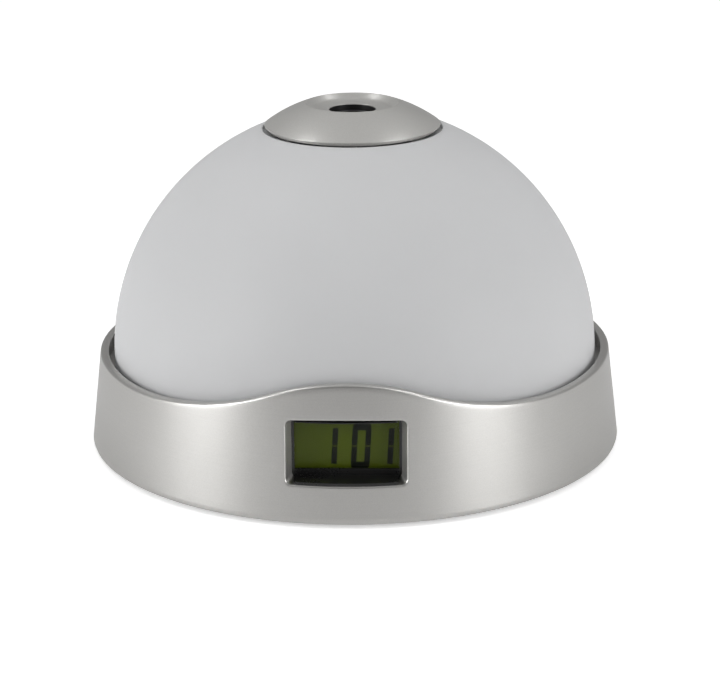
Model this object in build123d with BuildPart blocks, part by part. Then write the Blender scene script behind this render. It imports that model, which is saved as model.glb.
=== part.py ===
from build123d import *
import os
from math import copysign, cos, pi, radians, sin, sqrt, tan

# Projection alarm clock: a half-ball clock with a dome shade on a ring-shaped base.
# +Z is up, the display looks along -Y, and the origin is on the table at the centre.

# ---------------------------------------------------------------- driving sizes
# Base ring
foot_proud = 0.8          # the feet lift the ring's lower edge by this much
ring_r = 58.0             # outer radius of the lower edge
ring_h = 20.0             # height of the plain rim
ring_draft = 6.84         # degrees that the ring leans inwards
ring_wall = 1.8
hump_rise = 8.3           # the front hump over the plain rim
hump_half = 47.0          # half of its width
hump_crest_r = 45.0
rim_round = 0.5
flange_z = 15.4           # inner flange that carries the dome and the reflector
flange_t = 1.8

# Dome shade
rim_gap = 1.2             # open gap between the ring's rim and the dome
dome_wall = 1.8
dome_lip = 1.5            # inward lip that the reflector plate clamps
lip_t = 1.2
dome_hole_r = 17.0
seat_r = 19.2             # sunk seat around the top hole, under the cap's edge
seat_drop = 0.8
seat_t = 2.0

# Top cap
cap_r = 18.8
cap_sphere_r = 31.7
cap_gap = 1.3             # open gap between the cap's edge and the dome's seat
cap_edge_t = 0.2
cap_wall = 1.6
cap_travel = 0.6
dish_r = 9.9
dish_drop = 1.43          # depth of the dish at the edge of the hole
dish_floor_r = 8.5        # where its shallow floor meets its steeper wall
dish_floor_rise = 0.17
beam_hole_r = 5.0
hub_wall = 1.0
hook_w = 6.0
hook_t = 1.2
hook_catch = 1.2
post_r = 1.3

# Display
window_w = 24.3           # opening in the ring's face
window_h = 12.9
window_z = 15.05          # height of its centre
window_round = 1.2
window_arch = 0.4         # rise of its upper edge
window_draft = 19.0       # degrees that its side walls lean
view_w = 21.0             # clear width inside the black frame
sill_t = 0.55             # shelf of the frame along the opening's floor
lintel_t = 0.25           # and along its top
shelf_sink = 0.35         # from the ring's face to the shelves
view_floor = 1.25         # lower border of the frame over the sill
bezel_w = 26.8
bezel_top = 23.2
view_depth = 4.67         # from the ring's face back to the web that borders the view
web_t = 0.5
pane_t = 0.7
glass_t = 2.0
guide_t = 1.8
glass_w = 24.6
glass_h = 14.0
zebra_h = 1.7
display_board_t = 1.2
display_screw_x = 9.0     # each side of the middle
display_screw_rise = 2.2  # over the plate
pin_w = 0.5
pin_pitch = 2.0
pin_count = 9

# Base plate and battery bay
plate_t = 2.0
plate_sink = 0.6          # the plate lies this far above the ring's lower edge
bay_wall = 1.2
roof_t = 1.0
cell_r = 5.25             # AAA cell
cell_l = 44.5
nub_r = 1.9
nub_l = 1.2
cell_pitch = 11.2
cell_count = 3
bay_margin = 5.2          # from the bay's rear corners to the ring
contact_t = 0.3
spring_room = 3.6
door_t = 1.5
finger_w = 1.6
finger_t = 0.9
finger_root = 1.0
foot_r = 5.0
foot_sink = 0.8
foot_inset = 6.7          # from the plate's edge to the feet
foot_angle = 45.0
boss_r = 3.2
boss_angle = 20.0

# Boards
board_z = 10.0
board_t = 1.2
board_back = 17.5
post_inset = 4.5
post_angle = 19.0         # of the rear pair
front_post_angle = 36.0
post_wall_r = 2.5
board_screw_l = 5.5
base_screw_l = 7.5
led_board_t = 1.6
led_board_r = 24.0
led_r = 2.5
led_h = 8.6
mood_led_h = 6.0
mood_place = 18.6

# Keys, slider and buzzer
key_r = 3.4
key_inset = 23.6          # from the plate's edge
key_pitch = 12.5
key_proud = 0.4
key_travel = 0.5
key_flange_t = 0.8
key_stem_r = 1.5
switch_w = 6.0
switch_h = 3.4
plunger_r = 1.4
slider_inset = 22.1       # from the plate's edge
slider_y = -3.0
slider_travel = 2.5       # each way
slider_w = 3.0
buzzer_inset = 22.6       # from the plate's edge
buzzer_y = -3.0
buzzer_r = 10.0
buzzer_t = 0.6

# Projector
reflector_t = 1.4
tower_r = 10.5
bore_r = 9.0
stop_rise = 14.2          # up to the ledge between the condenser and the small LCD
stop_t = 2.0
condenser_t = 4.0
slide_lcd_t = 1.1
keeper_t = 1.8
focus_seat = 6.6          # from the step that carries the focus ring to the tower's mouth
focus_r = 9.22
focus_neck_r = 7.65
focus_top_r = 4.6
focus_bore_r = 3.7
focus_sink = 1.2          # the ring's top lies this far under the cap's hole
focus_reach = 7.4         # the neck's height over the tower's mouth
focus_flange_sink = 1.5
thread_r = 7.08
cell_sink = 2.5           # from the lens cell's top to the tower's mouth, at mid focus
cell_neck_l = 6.5
cell_body_l = 6.0
lens_r = 6.15
focus_travel = 1.5
collar_t = 1.2
top_flange_r = 16.0
top_flange_t = 1.6
top_board_sink = 5.4      # from the cap board's underside to the tower's mouth
top_board_t = 1.2
top_switch_w = 4.0
top_switch_h = 2.4
top_switch_place = 13.8
top_plunger_r = 1.0
ribbon_w = 6.0
ribbon_t = 0.6

# Parts on the main board
chip_w = 10.0
chip_l = 7.0
chip_h = 1.6
chip_place = 24.0         # in front of the clock's axis
can_r = 2.0
can_h = 3.4
can_pitch = 6.0
can_place = 12.0
crystal_l = 6.0
crystal_w = 2.4
crystal_h = 2.2
resistor_l = 2.0
resistor_w = 1.25
resistor_h = 0.6
resistor_pitch = 3.6
slide_lcd_w = 12.4

# Fits
slip = 0.08               # running fit of round parts, radial
snug = 0.2                # assembly clearance of parts at rest
loose = 0.3               # between parts that pass each other
screw_r = 1.0
head_r = 1.9
cross_l = 2.2             # the recess in a screw's head
cross_w = 0.5
cross_depth = 0.6
head_t = 1.3

# ---------------------------------------------------------------- derived sizes
ring_z = foot_proud
rim_z = ring_z + ring_h
crest_z = rim_z + hump_rise
ring_slope = tan(radians(ring_draft))
hump_blend = (hump_half**2 + hump_rise**2) / (2 * hump_rise)  # both arcs' radii together
blend_x = hump_half * hump_crest_r / hump_blend
blend_z = crest_z - hump_crest_r + sqrt(hump_crest_r**2 - blend_x**2)

plate_z = ring_z + plate_sink
plate_top = plate_z + plate_t
flange_top = flange_z + flange_t
reflector_z = flange_top + lip_t
reflector_top = reflector_z + reflector_t
dome_z = reflector_top                      # height of the sphere's centre
dome_r = ring_r - ring_h * ring_slope - ring_wall - rim_gap
dome_in = dome_r - dome_wall
seat_top = dome_z + sqrt(dome_r**2 - seat_r**2) - seat_drop
seat_low = seat_top - seat_t
cap_z = seat_top + cap_gap                  # the cap's lower edge
cap_centre = cap_z + cap_edge_t - sqrt(cap_sphere_r**2 - cap_r**2)

cell_z = plate_z + door_t + loose + cell_r
roof_z = cell_z + cell_r + snug
bay_top = roof_z + roof_t
bay_w = (cell_count - 1) * cell_pitch + 2 * cell_r + 2 * loose
bay_l = cell_l + 2 * contact_t + spring_room
opening_w = bay_w - 2 * loose
cell_xs = [(i - (cell_count - 1) / 2) * cell_pitch for i in range(cell_count)]
finger_xs = [(a + b) / 2 for a, b in zip(cell_xs, cell_xs[1:])]
key_xs = [(i - 1.5) * key_pitch for i in range(4)]
key_names = ["time", "alarm", "hour", "minute"]

notch_w = bezel_w + 10 * loose
notch_top = bezel_top + 2 * loose
led_board_z = reflector_z - led_board_t
tower_flange_r = 15.3
tower_flange_top = reflector_top + 1.8
tower_screw_place = 12.9
foot_top = plate_z + foot_sink
pad_place = dome_in - dome_lip - post_wall_r - 0.5
flange_r = pad_place - post_wall_r - loose
boss_place = pad_place + boss_r
board_r = flange_r + 1.5
stop_z = reflector_top + stop_rise
ribbon_x = tower_r + loose


def ring_radius(z):
    """Outer radius of the leaning ring wall at height z."""
    return ring_r - (z - ring_z) * ring_slope


def ring_spots(place, angles):
    """Points on a circle of radius place, at the angles in degrees."""
    return [(place * cos(radians(a)), place * sin(radians(a))) for a in angles]


def cap_sphere_z(r, wall=0.0):
    """Height of the cap's sphere over radius r, for the face set in by wall."""
    return cap_centre + sqrt((cap_sphere_r - wall) ** 2 - r**2)


def arc_point(radius, centre_z, angle):
    """Point on a meridian circle, the angle measured up from the horizontal."""
    return (radius * cos(radians(angle)), centre_z + radius * sin(radians(angle)))


def crown(rim, sag, r):
    """Point at radius r on the spherical face that rises by sag inside the circle rim."""
    ball = (rim[0] ** 2 + sag**2) / (2 * sag)
    dip = abs(ball) - sqrt(ball**2 - r**2)
    return (r, rim[1] + sag - copysign(dip, sag))


def on_outer_rim(edge):
    """True for the edges that run along the outside of the ring's rim."""
    middle = edge @ 0.5
    across = sqrt(middle.X**2 + middle.Y**2)
    return middle.Z > rim_z - 0.1 and across > ring_radius(middle.Z) - 0.1


# Depths of the display's layers, measured from the axis towards the front
window_face = sqrt(ring_radius(window_z) ** 2 - (window_w / 2) ** 2)
web_y = ring_radius(window_z) - view_depth
pane_y = web_y - web_t
glass_y = pane_y - pane_t - 0.05
guide_y = glass_y - glass_t - 0.05
display_board_y = guide_y - guide_t - 0.1
display_back_y = display_board_y - display_board_t

display_screw_spots = [
    (side * display_screw_x, plate_top + display_screw_rise) for side in (-1, 1)
]

# Places on the base plate
plate_r = ring_radius(plate_top) - ring_wall - snug
foot_place = plate_r - foot_r - foot_inset
slider_x = -plate_r + slider_inset
buzzer_x = plate_r - buzzer_inset
key_y = -plate_r + key_inset
bay_reach = ring_radius(bay_top) - ring_wall
bay_back = sqrt(bay_reach**2 - (bay_w / 2 + bay_wall) ** 2) - bay_margin - bay_wall
bay_y = bay_back - bay_l
hinge_y = bay_y + snug + door_t / 2
hinge_z = plate_z + door_t / 2
boss_spots = ring_spots(
    boss_place, (boss_angle, 180 - boss_angle, 180 + boss_angle, -boss_angle)
)
board_posts = ring_spots(
    board_r - post_inset,
    (post_angle, 180 - post_angle, 180 + front_post_angle, -front_post_angle),
)

# Heights of the projector, measured down from the cap's dish
dish_edge_z = cap_sphere_z(dish_r)
dish_hole_z = dish_edge_z - dish_drop
focus_top = dish_hole_z - focus_sink
tower_top = focus_top - focus_reach
focus_flange_z = tower_top - focus_flange_sink
seat_z = tower_top - focus_seat
cell_high = tower_top - cell_sink
cell_step = cell_high - cell_neck_l
cell_low = cell_step - cell_body_l
top_board_z = tower_top - top_board_sink

# ---------------------------------------------------------------- base ring
# A leaning ring shell. Its rim follows a smooth hump over the display.
with BuildPart() as base_ring:
    with BuildSketch(Plane.XZ):
        with BuildLine():
            top_r = ring_radius(crest_z + 1)
            Polyline(
                (ring_r, ring_z),
                (top_r, crest_z + 1),
                (top_r - ring_wall, crest_z + 1),
                (ring_r - ring_wall, ring_z),
                close=True,
            )
        make_face()
    revolve(axis=Axis.Z)
    with BuildSketch(Plane.XZ):
        with BuildLine():
            crest = ThreePointArc((-blend_x, blend_z), (0, crest_z), (blend_x, blend_z))
            right = TangentArc(crest @ 1, (hump_half, rim_z), tangent=crest % 1)
            left = TangentArc(crest @ 0, (-hump_half, rim_z), tangent=-(crest % 0))
            Polyline(
                right @ 1,
                (ring_r + 1, rim_z),
                (ring_r + 1, crest_z + 2),
                (-ring_r - 1, crest_z + 2),
                (-ring_r - 1, rim_z),
                left @ 1,
            )
        make_face()
    extrude(amount=ring_r + 1, mode=Mode.SUBTRACT)
    with BuildSketch(Plane.XY.offset(rim_z)):
        Rectangle(2 * ring_r + 2, ring_r + 1, align=(Align.CENTER, Align.MIN))
    extrude(amount=hump_rise + 2, mode=Mode.SUBTRACT)
    fillet(base_ring.edges().filter_by(on_outer_rim), rim_round)

    # Deep jambs at the sides of the display's opening
    with BuildPart(mode=Mode.PRIVATE) as jambs:
        with BuildSketch(Plane.XZ.offset(web_y + 0.1)):
            with Locations((0, window_z)):
                Rectangle(window_w + 1.0, window_h)
        extrude(amount=ring_r - web_y)
        with BuildSketch(Plane.XZ):
            with BuildLine():
                Polyline(
                    (0, ring_z), (ring_r - ring_wall / 2, ring_z),
                    (ring_radius(rim_z) - ring_wall / 2, rim_z),
                    (ring_radius(crest_z) - ring_wall / 2, crest_z), (0, crest_z), close=True,
                )
            make_face()
        revolve(axis=Axis.Z, mode=Mode.INTERSECT)
    add(jambs.part)
    # The opening: its sides narrow inwards, and its top is a slight arch
    window_low = window_z - window_h / 2
    window_high = window_z + window_h / 2
    for y in (window_face + 6, window_face - 6):
        half = window_w / 2 + (y - window_face) * tan(radians(window_draft))
        with BuildSketch(Plane.XZ.offset(y)) as opening:
            with BuildLine():
                Polyline(
                    (-half, window_high), (-half, window_low),
                    (half, window_low), (half, window_high),
                )
                ThreePointArc((half, window_high), (0, window_high + window_arch), (-half, window_high))
            make_face()
            fillet(opening.vertices(), window_round)
    loft(mode=Mode.SUBTRACT)

    # Inner flange with pads for the reflector's screws
    with BuildSketch(Plane.XY.offset(flange_z)):
        Circle(ring_radius(flange_z) - ring_wall / 2)
        Circle(flange_r, mode=Mode.SUBTRACT)
        with Locations((0, -ring_r)):
            Rectangle(notch_w, 2 * (ring_r - flange_r) + 8, mode=Mode.SUBTRACT)
    extrude(amount=flange_t)
    with BuildSketch(Plane.XY.offset(flange_top)):
        with PolarLocations(pad_place, 4, 45):
            Circle(post_wall_r)
    extrude(amount=lip_t)
    with BuildSketch(Plane.XY.offset(reflector_z)):
        with PolarLocations(pad_place, 4, 45):
            Circle(screw_r)
    extrude(amount=-(lip_t + flange_t), mode=Mode.SUBTRACT)

    # Screw bosses under the flange
    with BuildSketch(Plane.XY.offset(plate_top)):
        with Locations(*boss_spots):
            Circle(boss_r)
    extrude(amount=flange_z - plate_top)
    with BuildSketch(Plane.XY.offset(plate_top)):
        with Locations(*boss_spots):
            Circle(screw_r)
    extrude(amount=8, mode=Mode.SUBTRACT)
base_ring.part.label = "base_ring"
export_step(base_ring.part, "parts/base_ring.step")

# ---------------------------------------------------------------- dome shade
# A spherical shell with a short skirt, a clamped lip below and a sunk seat at the top.
with BuildPart() as dome_shade:
    with BuildSketch(Plane.XZ):
        with BuildLine():
            seat_edge = (seat_r, seat_top + seat_drop)
            inner_edge = (sqrt(dome_in**2 - (seat_low - dome_z) ** 2), seat_low)
            Line((dome_r, flange_top), (dome_r, dome_z))
            ThreePointArc((dome_r, dome_z), arc_point(dome_r, dome_z, 40), seat_edge)
            Polyline(
                seat_edge, (seat_r, seat_top), (dome_hole_r, seat_top),
                (dome_hole_r, seat_low), inner_edge,
            )
            ThreePointArc(inner_edge, arc_point(dome_in, dome_z, 35), (dome_in, dome_z))
            Polyline(
                (dome_in, dome_z), (dome_in, reflector_z), (dome_in - dome_lip, reflector_z),
                (dome_in - dome_lip, flange_top), (dome_r, flange_top),
            )
        make_face()
    revolve(axis=Axis.Z)
    # The display reaches through this notch, hidden behind the ring's hump
    with BuildSketch(Plane.XZ):
        with Locations((0, flange_top)):
            Rectangle(notch_w, 2 * (notch_top - flange_top))
    extrude(amount=dome_r + 1, mode=Mode.SUBTRACT)
dome_shade.part.label = "dome_shade"
export_step(dome_shade.part, "parts/dome_shade.step")

# ---------------------------------------------------------------- top cap
# Press cap: a dished spherical button with a guide hub, three hooks and three posts.
hub_r = tower_r + slip
hub_low = top_board_z + top_board_t + cap_travel + 0.1
cap_under = focus_top - 0.7
plunger_top = top_board_z + top_board_t + top_switch_h + cap_travel + 0.2
with BuildPart() as top_cap:
    with BuildSketch(Plane.XZ):
        with BuildLine():
            skirt_in = sqrt((cap_sphere_r - cap_wall) ** 2 - (cap_z + cap_edge_t - cap_centre) ** 2)
            hub_out = hub_r + hub_wall
            Line((cap_r, cap_z), (cap_r, cap_z + cap_edge_t))
            ThreePointArc(
                (cap_r, cap_z + cap_edge_t),
                (dish_r * 1.5, cap_sphere_z(dish_r * 1.5)),
                (dish_r, dish_edge_z),
            )
            Polyline(
                (dish_r, dish_edge_z), (dish_floor_r, dish_hole_z + dish_floor_rise),
                (beam_hole_r, dish_hole_z), (beam_hole_r, cap_under), (hub_r, cap_under),
                (hub_r, hub_low), (hub_out, hub_low), (hub_out, cap_sphere_z(hub_out, cap_wall)),
            )
            inner_mid = (hub_out + skirt_in) / 2
            ThreePointArc(
                (hub_out, cap_sphere_z(hub_out, cap_wall)),
                (inner_mid, cap_sphere_z(inner_mid, cap_wall)),
                (skirt_in, cap_z + cap_edge_t),
            )
            Polyline((skirt_in, cap_z + cap_edge_t), (skirt_in, cap_z), (cap_r, cap_z))
        make_face()
    revolve(axis=Axis.Z)
    fillet(top_cap.edges().filter_by(GeomType.CIRCLE).group_by(Axis.Z)[-1], 0.35)
    # Hooks that catch under the dome's seat
    hook_in = dome_hole_r - 0.6 - hook_t
    with BuildSketch(Plane.XY.offset(seat_low - 0.1)):
        with PolarLocations(hook_in, 3, 90):
            Rectangle(hook_t, hook_w, align=(Align.MIN, Align.CENTER))
    extrude(amount=cap_z + 1 - seat_low)
    with BuildSketch(Plane.XY.offset(seat_low - 0.1)):
        with PolarLocations(hook_in, 3, 90):
            Rectangle(hook_t + hook_catch, hook_w, align=(Align.MIN, Align.CENTER))
    extrude(amount=-1.3)
    # Posts that press the switches
    with BuildSketch(Plane.XY.offset(plunger_top + 0.05)):
        with PolarLocations(top_switch_place, 3, 30):
            Circle(post_r)
    extrude(amount=cap_sphere_z(top_switch_place, cap_wall) + 0.8 - plunger_top)
top_cap.part.label = "top_cap"
export_step(top_cap.part, "parts/top_cap.step")

# ---------------------------------------------------------------- cap board and switches
with BuildPart() as cap_board:
    with BuildSketch(Plane.XY.offset(top_board_z)):
        Circle(top_flange_r)
        Circle(tower_r + snug, mode=Mode.SUBTRACT)
    extrude(amount=top_board_t)
cap_board.part.label = "cap_board"
export_step(cap_board.part, "parts/cap_board.step")

top_switch_z = top_board_z + top_board_t
with BuildPart() as cap_switches:
    with BuildSketch(Plane.XY.offset(top_switch_z)):
        with PolarLocations(top_switch_place, 3, 30):
            Rectangle(top_switch_w, top_switch_w)
    extrude(amount=top_switch_h)
    with BuildSketch(Plane.XY.offset(top_switch_z + top_switch_h)):
        with PolarLocations(top_switch_place, 3, 30):
            Circle(top_plunger_r + slip)
    extrude(amount=-(top_switch_h - 0.4), mode=Mode.SUBTRACT)
cap_switches.part.label = "cap_switches"
export_step(cap_switches.part, "parts/cap_switches.step")

with BuildPart() as cap_plungers:
    with BuildSketch(Plane.XY.offset(plunger_top)):
        with PolarLocations(top_switch_place, 3, 30):
            Circle(top_plunger_r)
    extrude(amount=-(cap_travel + 1.4))
cap_plungers.part.label = "cap_plungers"
export_step(cap_plungers.part, "parts/cap_plungers.step")

# Return coil between the tower's collar and the cap
coil_wire_r = 0.35
coil_r = bore_r + 0.2
coil_turns = 3.5
collar_top = tower_top + collar_t
coil_low = collar_top + coil_wire_r
coil_rise = cap_under - collar_top - 2 * coil_wire_r
with BuildPart() as cap_spring:
    with BuildLine() as coil:
        Helix(coil_rise / coil_turns, coil_rise, coil_r, center=(0, 0, coil_low))
    with BuildSketch(Plane(coil.line @ 0, z_dir=coil.line % 0)):
        Circle(coil_wire_r)
    sweep()
cap_spring.part.label = "cap_spring"
export_step(cap_spring.part, "parts/cap_spring.step")

# ---------------------------------------------------------------- projector
# Central column: a flanged tube with a stop ledge inside and a board flange near the top.
with BuildPart() as projector_tower:
    with BuildSketch(Plane.XY.offset(reflector_top)):
        Circle(tower_flange_r)
    extrude(amount=tower_flange_top - reflector_top)
    with BuildSketch(Plane.XY.offset(reflector_top)):
        Circle(tower_r)
    extrude(amount=tower_top - reflector_top)
    with BuildSketch(Plane.XY.offset(top_board_z)):
        Circle(top_flange_r)
    extrude(amount=-top_flange_t)
    with BuildSketch(Plane.XY.offset(reflector_top)):
        Circle(bore_r)
    extrude(amount=stop_z - reflector_top, mode=Mode.SUBTRACT)
    with BuildSketch(Plane.XY.offset(stop_z)):
        Circle(bore_r - 2.5)
    extrude(amount=stop_t, mode=Mode.SUBTRACT)
    with BuildSketch(Plane.XY.offset(stop_z + stop_t)):
        Circle(bore_r)
    extrude(amount=seat_z - stop_z - stop_t, mode=Mode.SUBTRACT)
    with BuildSketch(Plane.XY.offset(seat_z)):
        Circle(focus_r + slip)
    extrude(amount=tower_top - seat_z, mode=Mode.SUBTRACT)
    with BuildSketch(Plane.XY.offset(reflector_top)):
        with PolarLocations(tower_screw_place, 3, 90):
            Circle(screw_r + 0.1)
        with Locations((ribbon_x - snug, 0)):
            Rectangle(
                tower_flange_r, ribbon_w + 2 * snug, align=(Align.MIN, Align.CENTER)
            )
    extrude(amount=tower_flange_top - reflector_top, mode=Mode.SUBTRACT)
    with BuildSketch(Plane.XY.offset(top_board_z)):
        with Locations((ribbon_x - snug, 0)):
            Rectangle(top_flange_r, ribbon_w + 2 * snug, align=(Align.MIN, Align.CENTER))
    extrude(amount=-top_flange_t, mode=Mode.SUBTRACT)
projector_tower.part.label = "projector_tower"
export_step(projector_tower.part, "parts/projector_tower.step")

# Collar that keeps the focus ring in the tower's mouth
with BuildPart() as tower_collar:
    with BuildSketch(Plane.XY.offset(tower_top)):
        Circle(tower_r)
        Circle(focus_neck_r + 0.1, mode=Mode.SUBTRACT)
    extrude(amount=collar_t)
    with BuildSketch(Plane.XY.offset(tower_top)):
        Circle(focus_r + slip - 0.02)
        Circle(focus_neck_r + 0.55, mode=Mode.SUBTRACT)
    extrude(amount=-(tower_top - focus_flange_z - 0.1))
tower_collar.part.label = "tower_collar"
export_step(tower_collar.part, "parts/tower_collar.step")

# Focus ring: its ribbed neck is turned by a fingertip through the cap's hole
with BuildPart() as focus_ring:
    with BuildSketch(Plane.XZ):
        with BuildLine():
            neck_z = cap_under - cap_travel - 3.9
            thread_top = cell_high + focus_travel + 1.4
            Polyline(
                (thread_r, seat_z + 0.05), (focus_r, seat_z + 0.05),
                (focus_r, focus_flange_z), (focus_neck_r, focus_flange_z),
                (focus_neck_r, neck_z), (focus_top_r, neck_z),
                (focus_top_r, focus_top), (focus_bore_r, focus_top),
                (focus_bore_r, neck_z - 1.0), (thread_r - 0.4, thread_top),
                (thread_r, thread_top), close=True,
            )
        make_face()
    revolve(axis=Axis.Z)
    with BuildSketch(Plane.XY.offset(focus_top)):
        with PolarLocations(focus_top_r, 20):
            Rectangle(0.5, 0.45)
    extrude(amount=-1.2, mode=Mode.SUBTRACT)
focus_ring.part.label = "focus_ring"
export_step(focus_ring.part, "parts/focus_ring.step")

# Lens cell: slides in the bore, its neck runs in the focus ring's thread
with BuildPart() as lens_cell:
    with BuildSketch(Plane.XZ):
        with BuildLine():
            neck_out = thread_r - slip
            Polyline(
                (lens_r - 0.8, cell_low), (bore_r - slip, cell_low),
                (bore_r - slip, cell_step), (neck_out, cell_step),
                (neck_out, cell_high), (lens_r, cell_high),
                (lens_r, cell_step + 2.0), (lens_r - 0.8, cell_step + 2.0), close=True,
            )
        make_face()
    revolve(axis=Axis.Z)
lens_cell.part.label = "lens_cell"
export_step(lens_cell.part, "parts/lens_cell.step")

# Objective: biconvex, seated on the step of its cell
lens_low = (lens_r - 1.0, cell_step + 2.0)
lens_high = (lens_r, lens_low[1] + 1.2)
with BuildPart() as objective_lens:
    with BuildSketch(Plane.XZ):
        with BuildLine():
            low_face = ThreePointArc(*[crown(lens_low, -0.6, r) for r in (0, 2.5, lens_low[0])])
            Polyline(lens_low, (lens_r, lens_low[1]), lens_high)
            high_face = ThreePointArc(*[crown(lens_high, 1.2, r) for r in (lens_r, 3, 0)])
            Line(high_face @ 1, low_face @ 0)
        make_face()
    revolve(axis=Axis.Z)
objective_lens.part.label = "objective_lens"
export_step(objective_lens.part, "parts/objective_lens.step")

# Condenser: plano-convex under the stop ledge, held by a press ring
condenser_r = bore_r - 0.05
condenser_edge = (condenser_r, stop_z - 1.2)
with BuildPart() as condenser_lens:
    with BuildSketch(Plane.XZ):
        with BuildLine():
            bulge = 1.2 - condenser_t
            low_face = ThreePointArc(
                *[crown(condenser_edge, bulge, r) for r in (0, 5, condenser_r)]
            )
            Polyline(condenser_edge, (condenser_r, stop_z), (0, stop_z), low_face @ 0)
        make_face()
    revolve(axis=Axis.Z)
condenser_lens.part.label = "condenser_lens"
export_step(condenser_lens.part, "parts/condenser_lens.step")

with BuildPart() as condenser_ring:
    with BuildSketch(Plane.XY.offset(crown(condenser_edge, bulge, bore_r - 0.7)[1])):
        Circle(bore_r - 0.02)
        Circle(bore_r - 0.7, mode=Mode.SUBTRACT)
    extrude(amount=-condenser_t)
condenser_ring.part.label = "condenser_ring"
export_step(condenser_ring.part, "parts/condenser_ring.step")

# Small LCD on the ledge, and its keeper ring
slide_lcd_z = stop_z + stop_t
with BuildPart() as projector_lcd:
    with BuildSketch(Plane.XY.offset(slide_lcd_z)):
        Rectangle(slide_lcd_w, slide_lcd_w)
    extrude(amount=slide_lcd_t)
projector_lcd.part.label = "projector_lcd"
export_step(projector_lcd.part, "parts/projector_lcd.step")

with BuildPart() as lcd_keeper:
    with BuildSketch(Plane.XY.offset(slide_lcd_z + slide_lcd_t)):
        Circle(bore_r - 0.02)
        Circle(bore_r - 2.5, mode=Mode.SUBTRACT)
    extrude(amount=keeper_t)
lcd_keeper.part.label = "lcd_keeper"
export_step(lcd_keeper.part, "parts/lcd_keeper.step")


def lamp_profile(height):
    """Half outline of a round-topped lamp that stands on the lamp board."""
    tip = height - led_r
    with BuildLine() as outline:
        Polyline(
            (0, 0), (led_r + 0.4, 0), (led_r + 0.4, 1.0), (led_r, 1.0), (led_r, tip)
        )
        ThreePointArc(
            (led_r, tip), (led_r * cos(pi / 4), tip + led_r * sin(pi / 4)), (0, height)
        )
        Line((0, height), (0, 0))
    return outline.line


# Lamps: a bright one at the tower's foot, and three coloured ones for the dome
with BuildPart() as projector_led:
    with BuildSketch(Plane((0, 0, reflector_z), x_dir=(1, 0, 0), z_dir=(0, -1, 0))):
        add(lamp_profile(led_h))
        make_face()
    revolve(axis=Axis.Z)
projector_led.part.label = "projector_led"
export_step(projector_led.part, "parts/projector_led.step")

with BuildPart() as mood_leds:
    for angle in (30, 150, 270):
        spot = (mood_place * cos(radians(angle)), mood_place * sin(radians(angle)), reflector_z)
        with BuildSketch(Plane(spot, x_dir=(1, 0, 0), z_dir=(0, -1, 0))):
            add(lamp_profile(mood_led_h))
            make_face()
        revolve(axis=Axis(spot, (0, 0, 1)))
mood_leds.part.label = "mood_leds"
export_step(mood_leds.part, "parts/mood_leds.step")

with BuildPart() as led_board:
    with BuildSketch(Plane.XY.offset(led_board_z)):
        Circle(led_board_r)
        with PolarLocations(tower_screw_place, 3, 90):
            Circle(screw_r, mode=Mode.SUBTRACT)
    extrude(amount=led_board_t)
led_board.part.label = "led_board"
export_step(led_board.part, "parts/led_board.step")

# White plate that hides the boards and throws the light into the dome
with BuildPart() as reflector_plate:
    with BuildSketch(Plane.XY.offset(reflector_z)):
        Circle(dome_in - snug - 0.3)
        Circle(bore_r, mode=Mode.SUBTRACT)
        with PolarLocations(mood_place, 3, 30):
            Circle(led_r + 0.4 + snug, mode=Mode.SUBTRACT)
        with PolarLocations(tower_screw_place, 3, 90):
            Circle(screw_r + 0.1, mode=Mode.SUBTRACT)
        with PolarLocations(pad_place, 4, 45):
            Circle(screw_r + 0.1, mode=Mode.SUBTRACT)
        with Locations((ribbon_x - snug, 0)):
            Rectangle(
                ribbon_t + 2 * snug, ribbon_w + 2 * snug,
                align=(Align.MIN, Align.CENTER), mode=Mode.SUBTRACT,
            )
        with Locations((0, -display_back_y + 0.5)):
            Rectangle(notch_w, dome_r, align=(Align.CENTER, Align.MAX), mode=Mode.SUBTRACT)
    extrude(amount=reflector_t)
reflector_plate.part.label = "reflector_plate"
export_step(reflector_plate.part, "parts/reflector_plate.step")

# Flat cables: lamp board to cap board, and main board to lamp board
with BuildPart() as ribbon_cable:
    with BuildSketch(Plane.XY.offset(reflector_z)):
        with Locations((ribbon_x, 0)):
            Rectangle(ribbon_t, ribbon_w, align=(Align.MIN, Align.CENTER))
    extrude(amount=top_board_z - reflector_z)
ribbon_cable.part.label = "ribbon_cable"
export_step(ribbon_cable.part, "parts/ribbon_cable.step")

board_top = board_z + board_t
with BuildPart() as board_ribbon:
    with BuildSketch(Plane.XY.offset(board_top)):
        with Locations((0, bay_y - bay_wall - 6)):
            Rectangle(ribbon_w + 4, ribbon_t)
    extrude(amount=led_board_z - board_top)
board_ribbon.part.label = "board_ribbon"
export_step(board_ribbon.part, "parts/board_ribbon.step")

# ---------------------------------------------------------------- main board
with BuildPart() as main_board:
    with BuildSketch(Plane.XY.offset(board_z)):
        Circle(board_r)
        with Locations((0, board_back)):
            Rectangle(2 * board_r, board_r, align=(Align.CENTER, Align.MIN), mode=Mode.SUBTRACT)
        with Locations((0, bay_y - bay_wall - 0.5)):
            Rectangle(
                bay_w + 2 * bay_wall + 1, board_r * 2,
                align=(Align.CENTER, Align.MIN), mode=Mode.SUBTRACT,
            )
        with Locations((0, -display_back_y + 1.6)):
            Rectangle(notch_w, board_r, align=(Align.CENTER, Align.MAX), mode=Mode.SUBTRACT)
        with Locations(*board_posts):
            Circle(screw_r + 0.1, mode=Mode.SUBTRACT)
    extrude(amount=board_t)
main_board.part.label = "main_board"
export_step(main_board.part, "parts/main_board.step")

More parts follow.
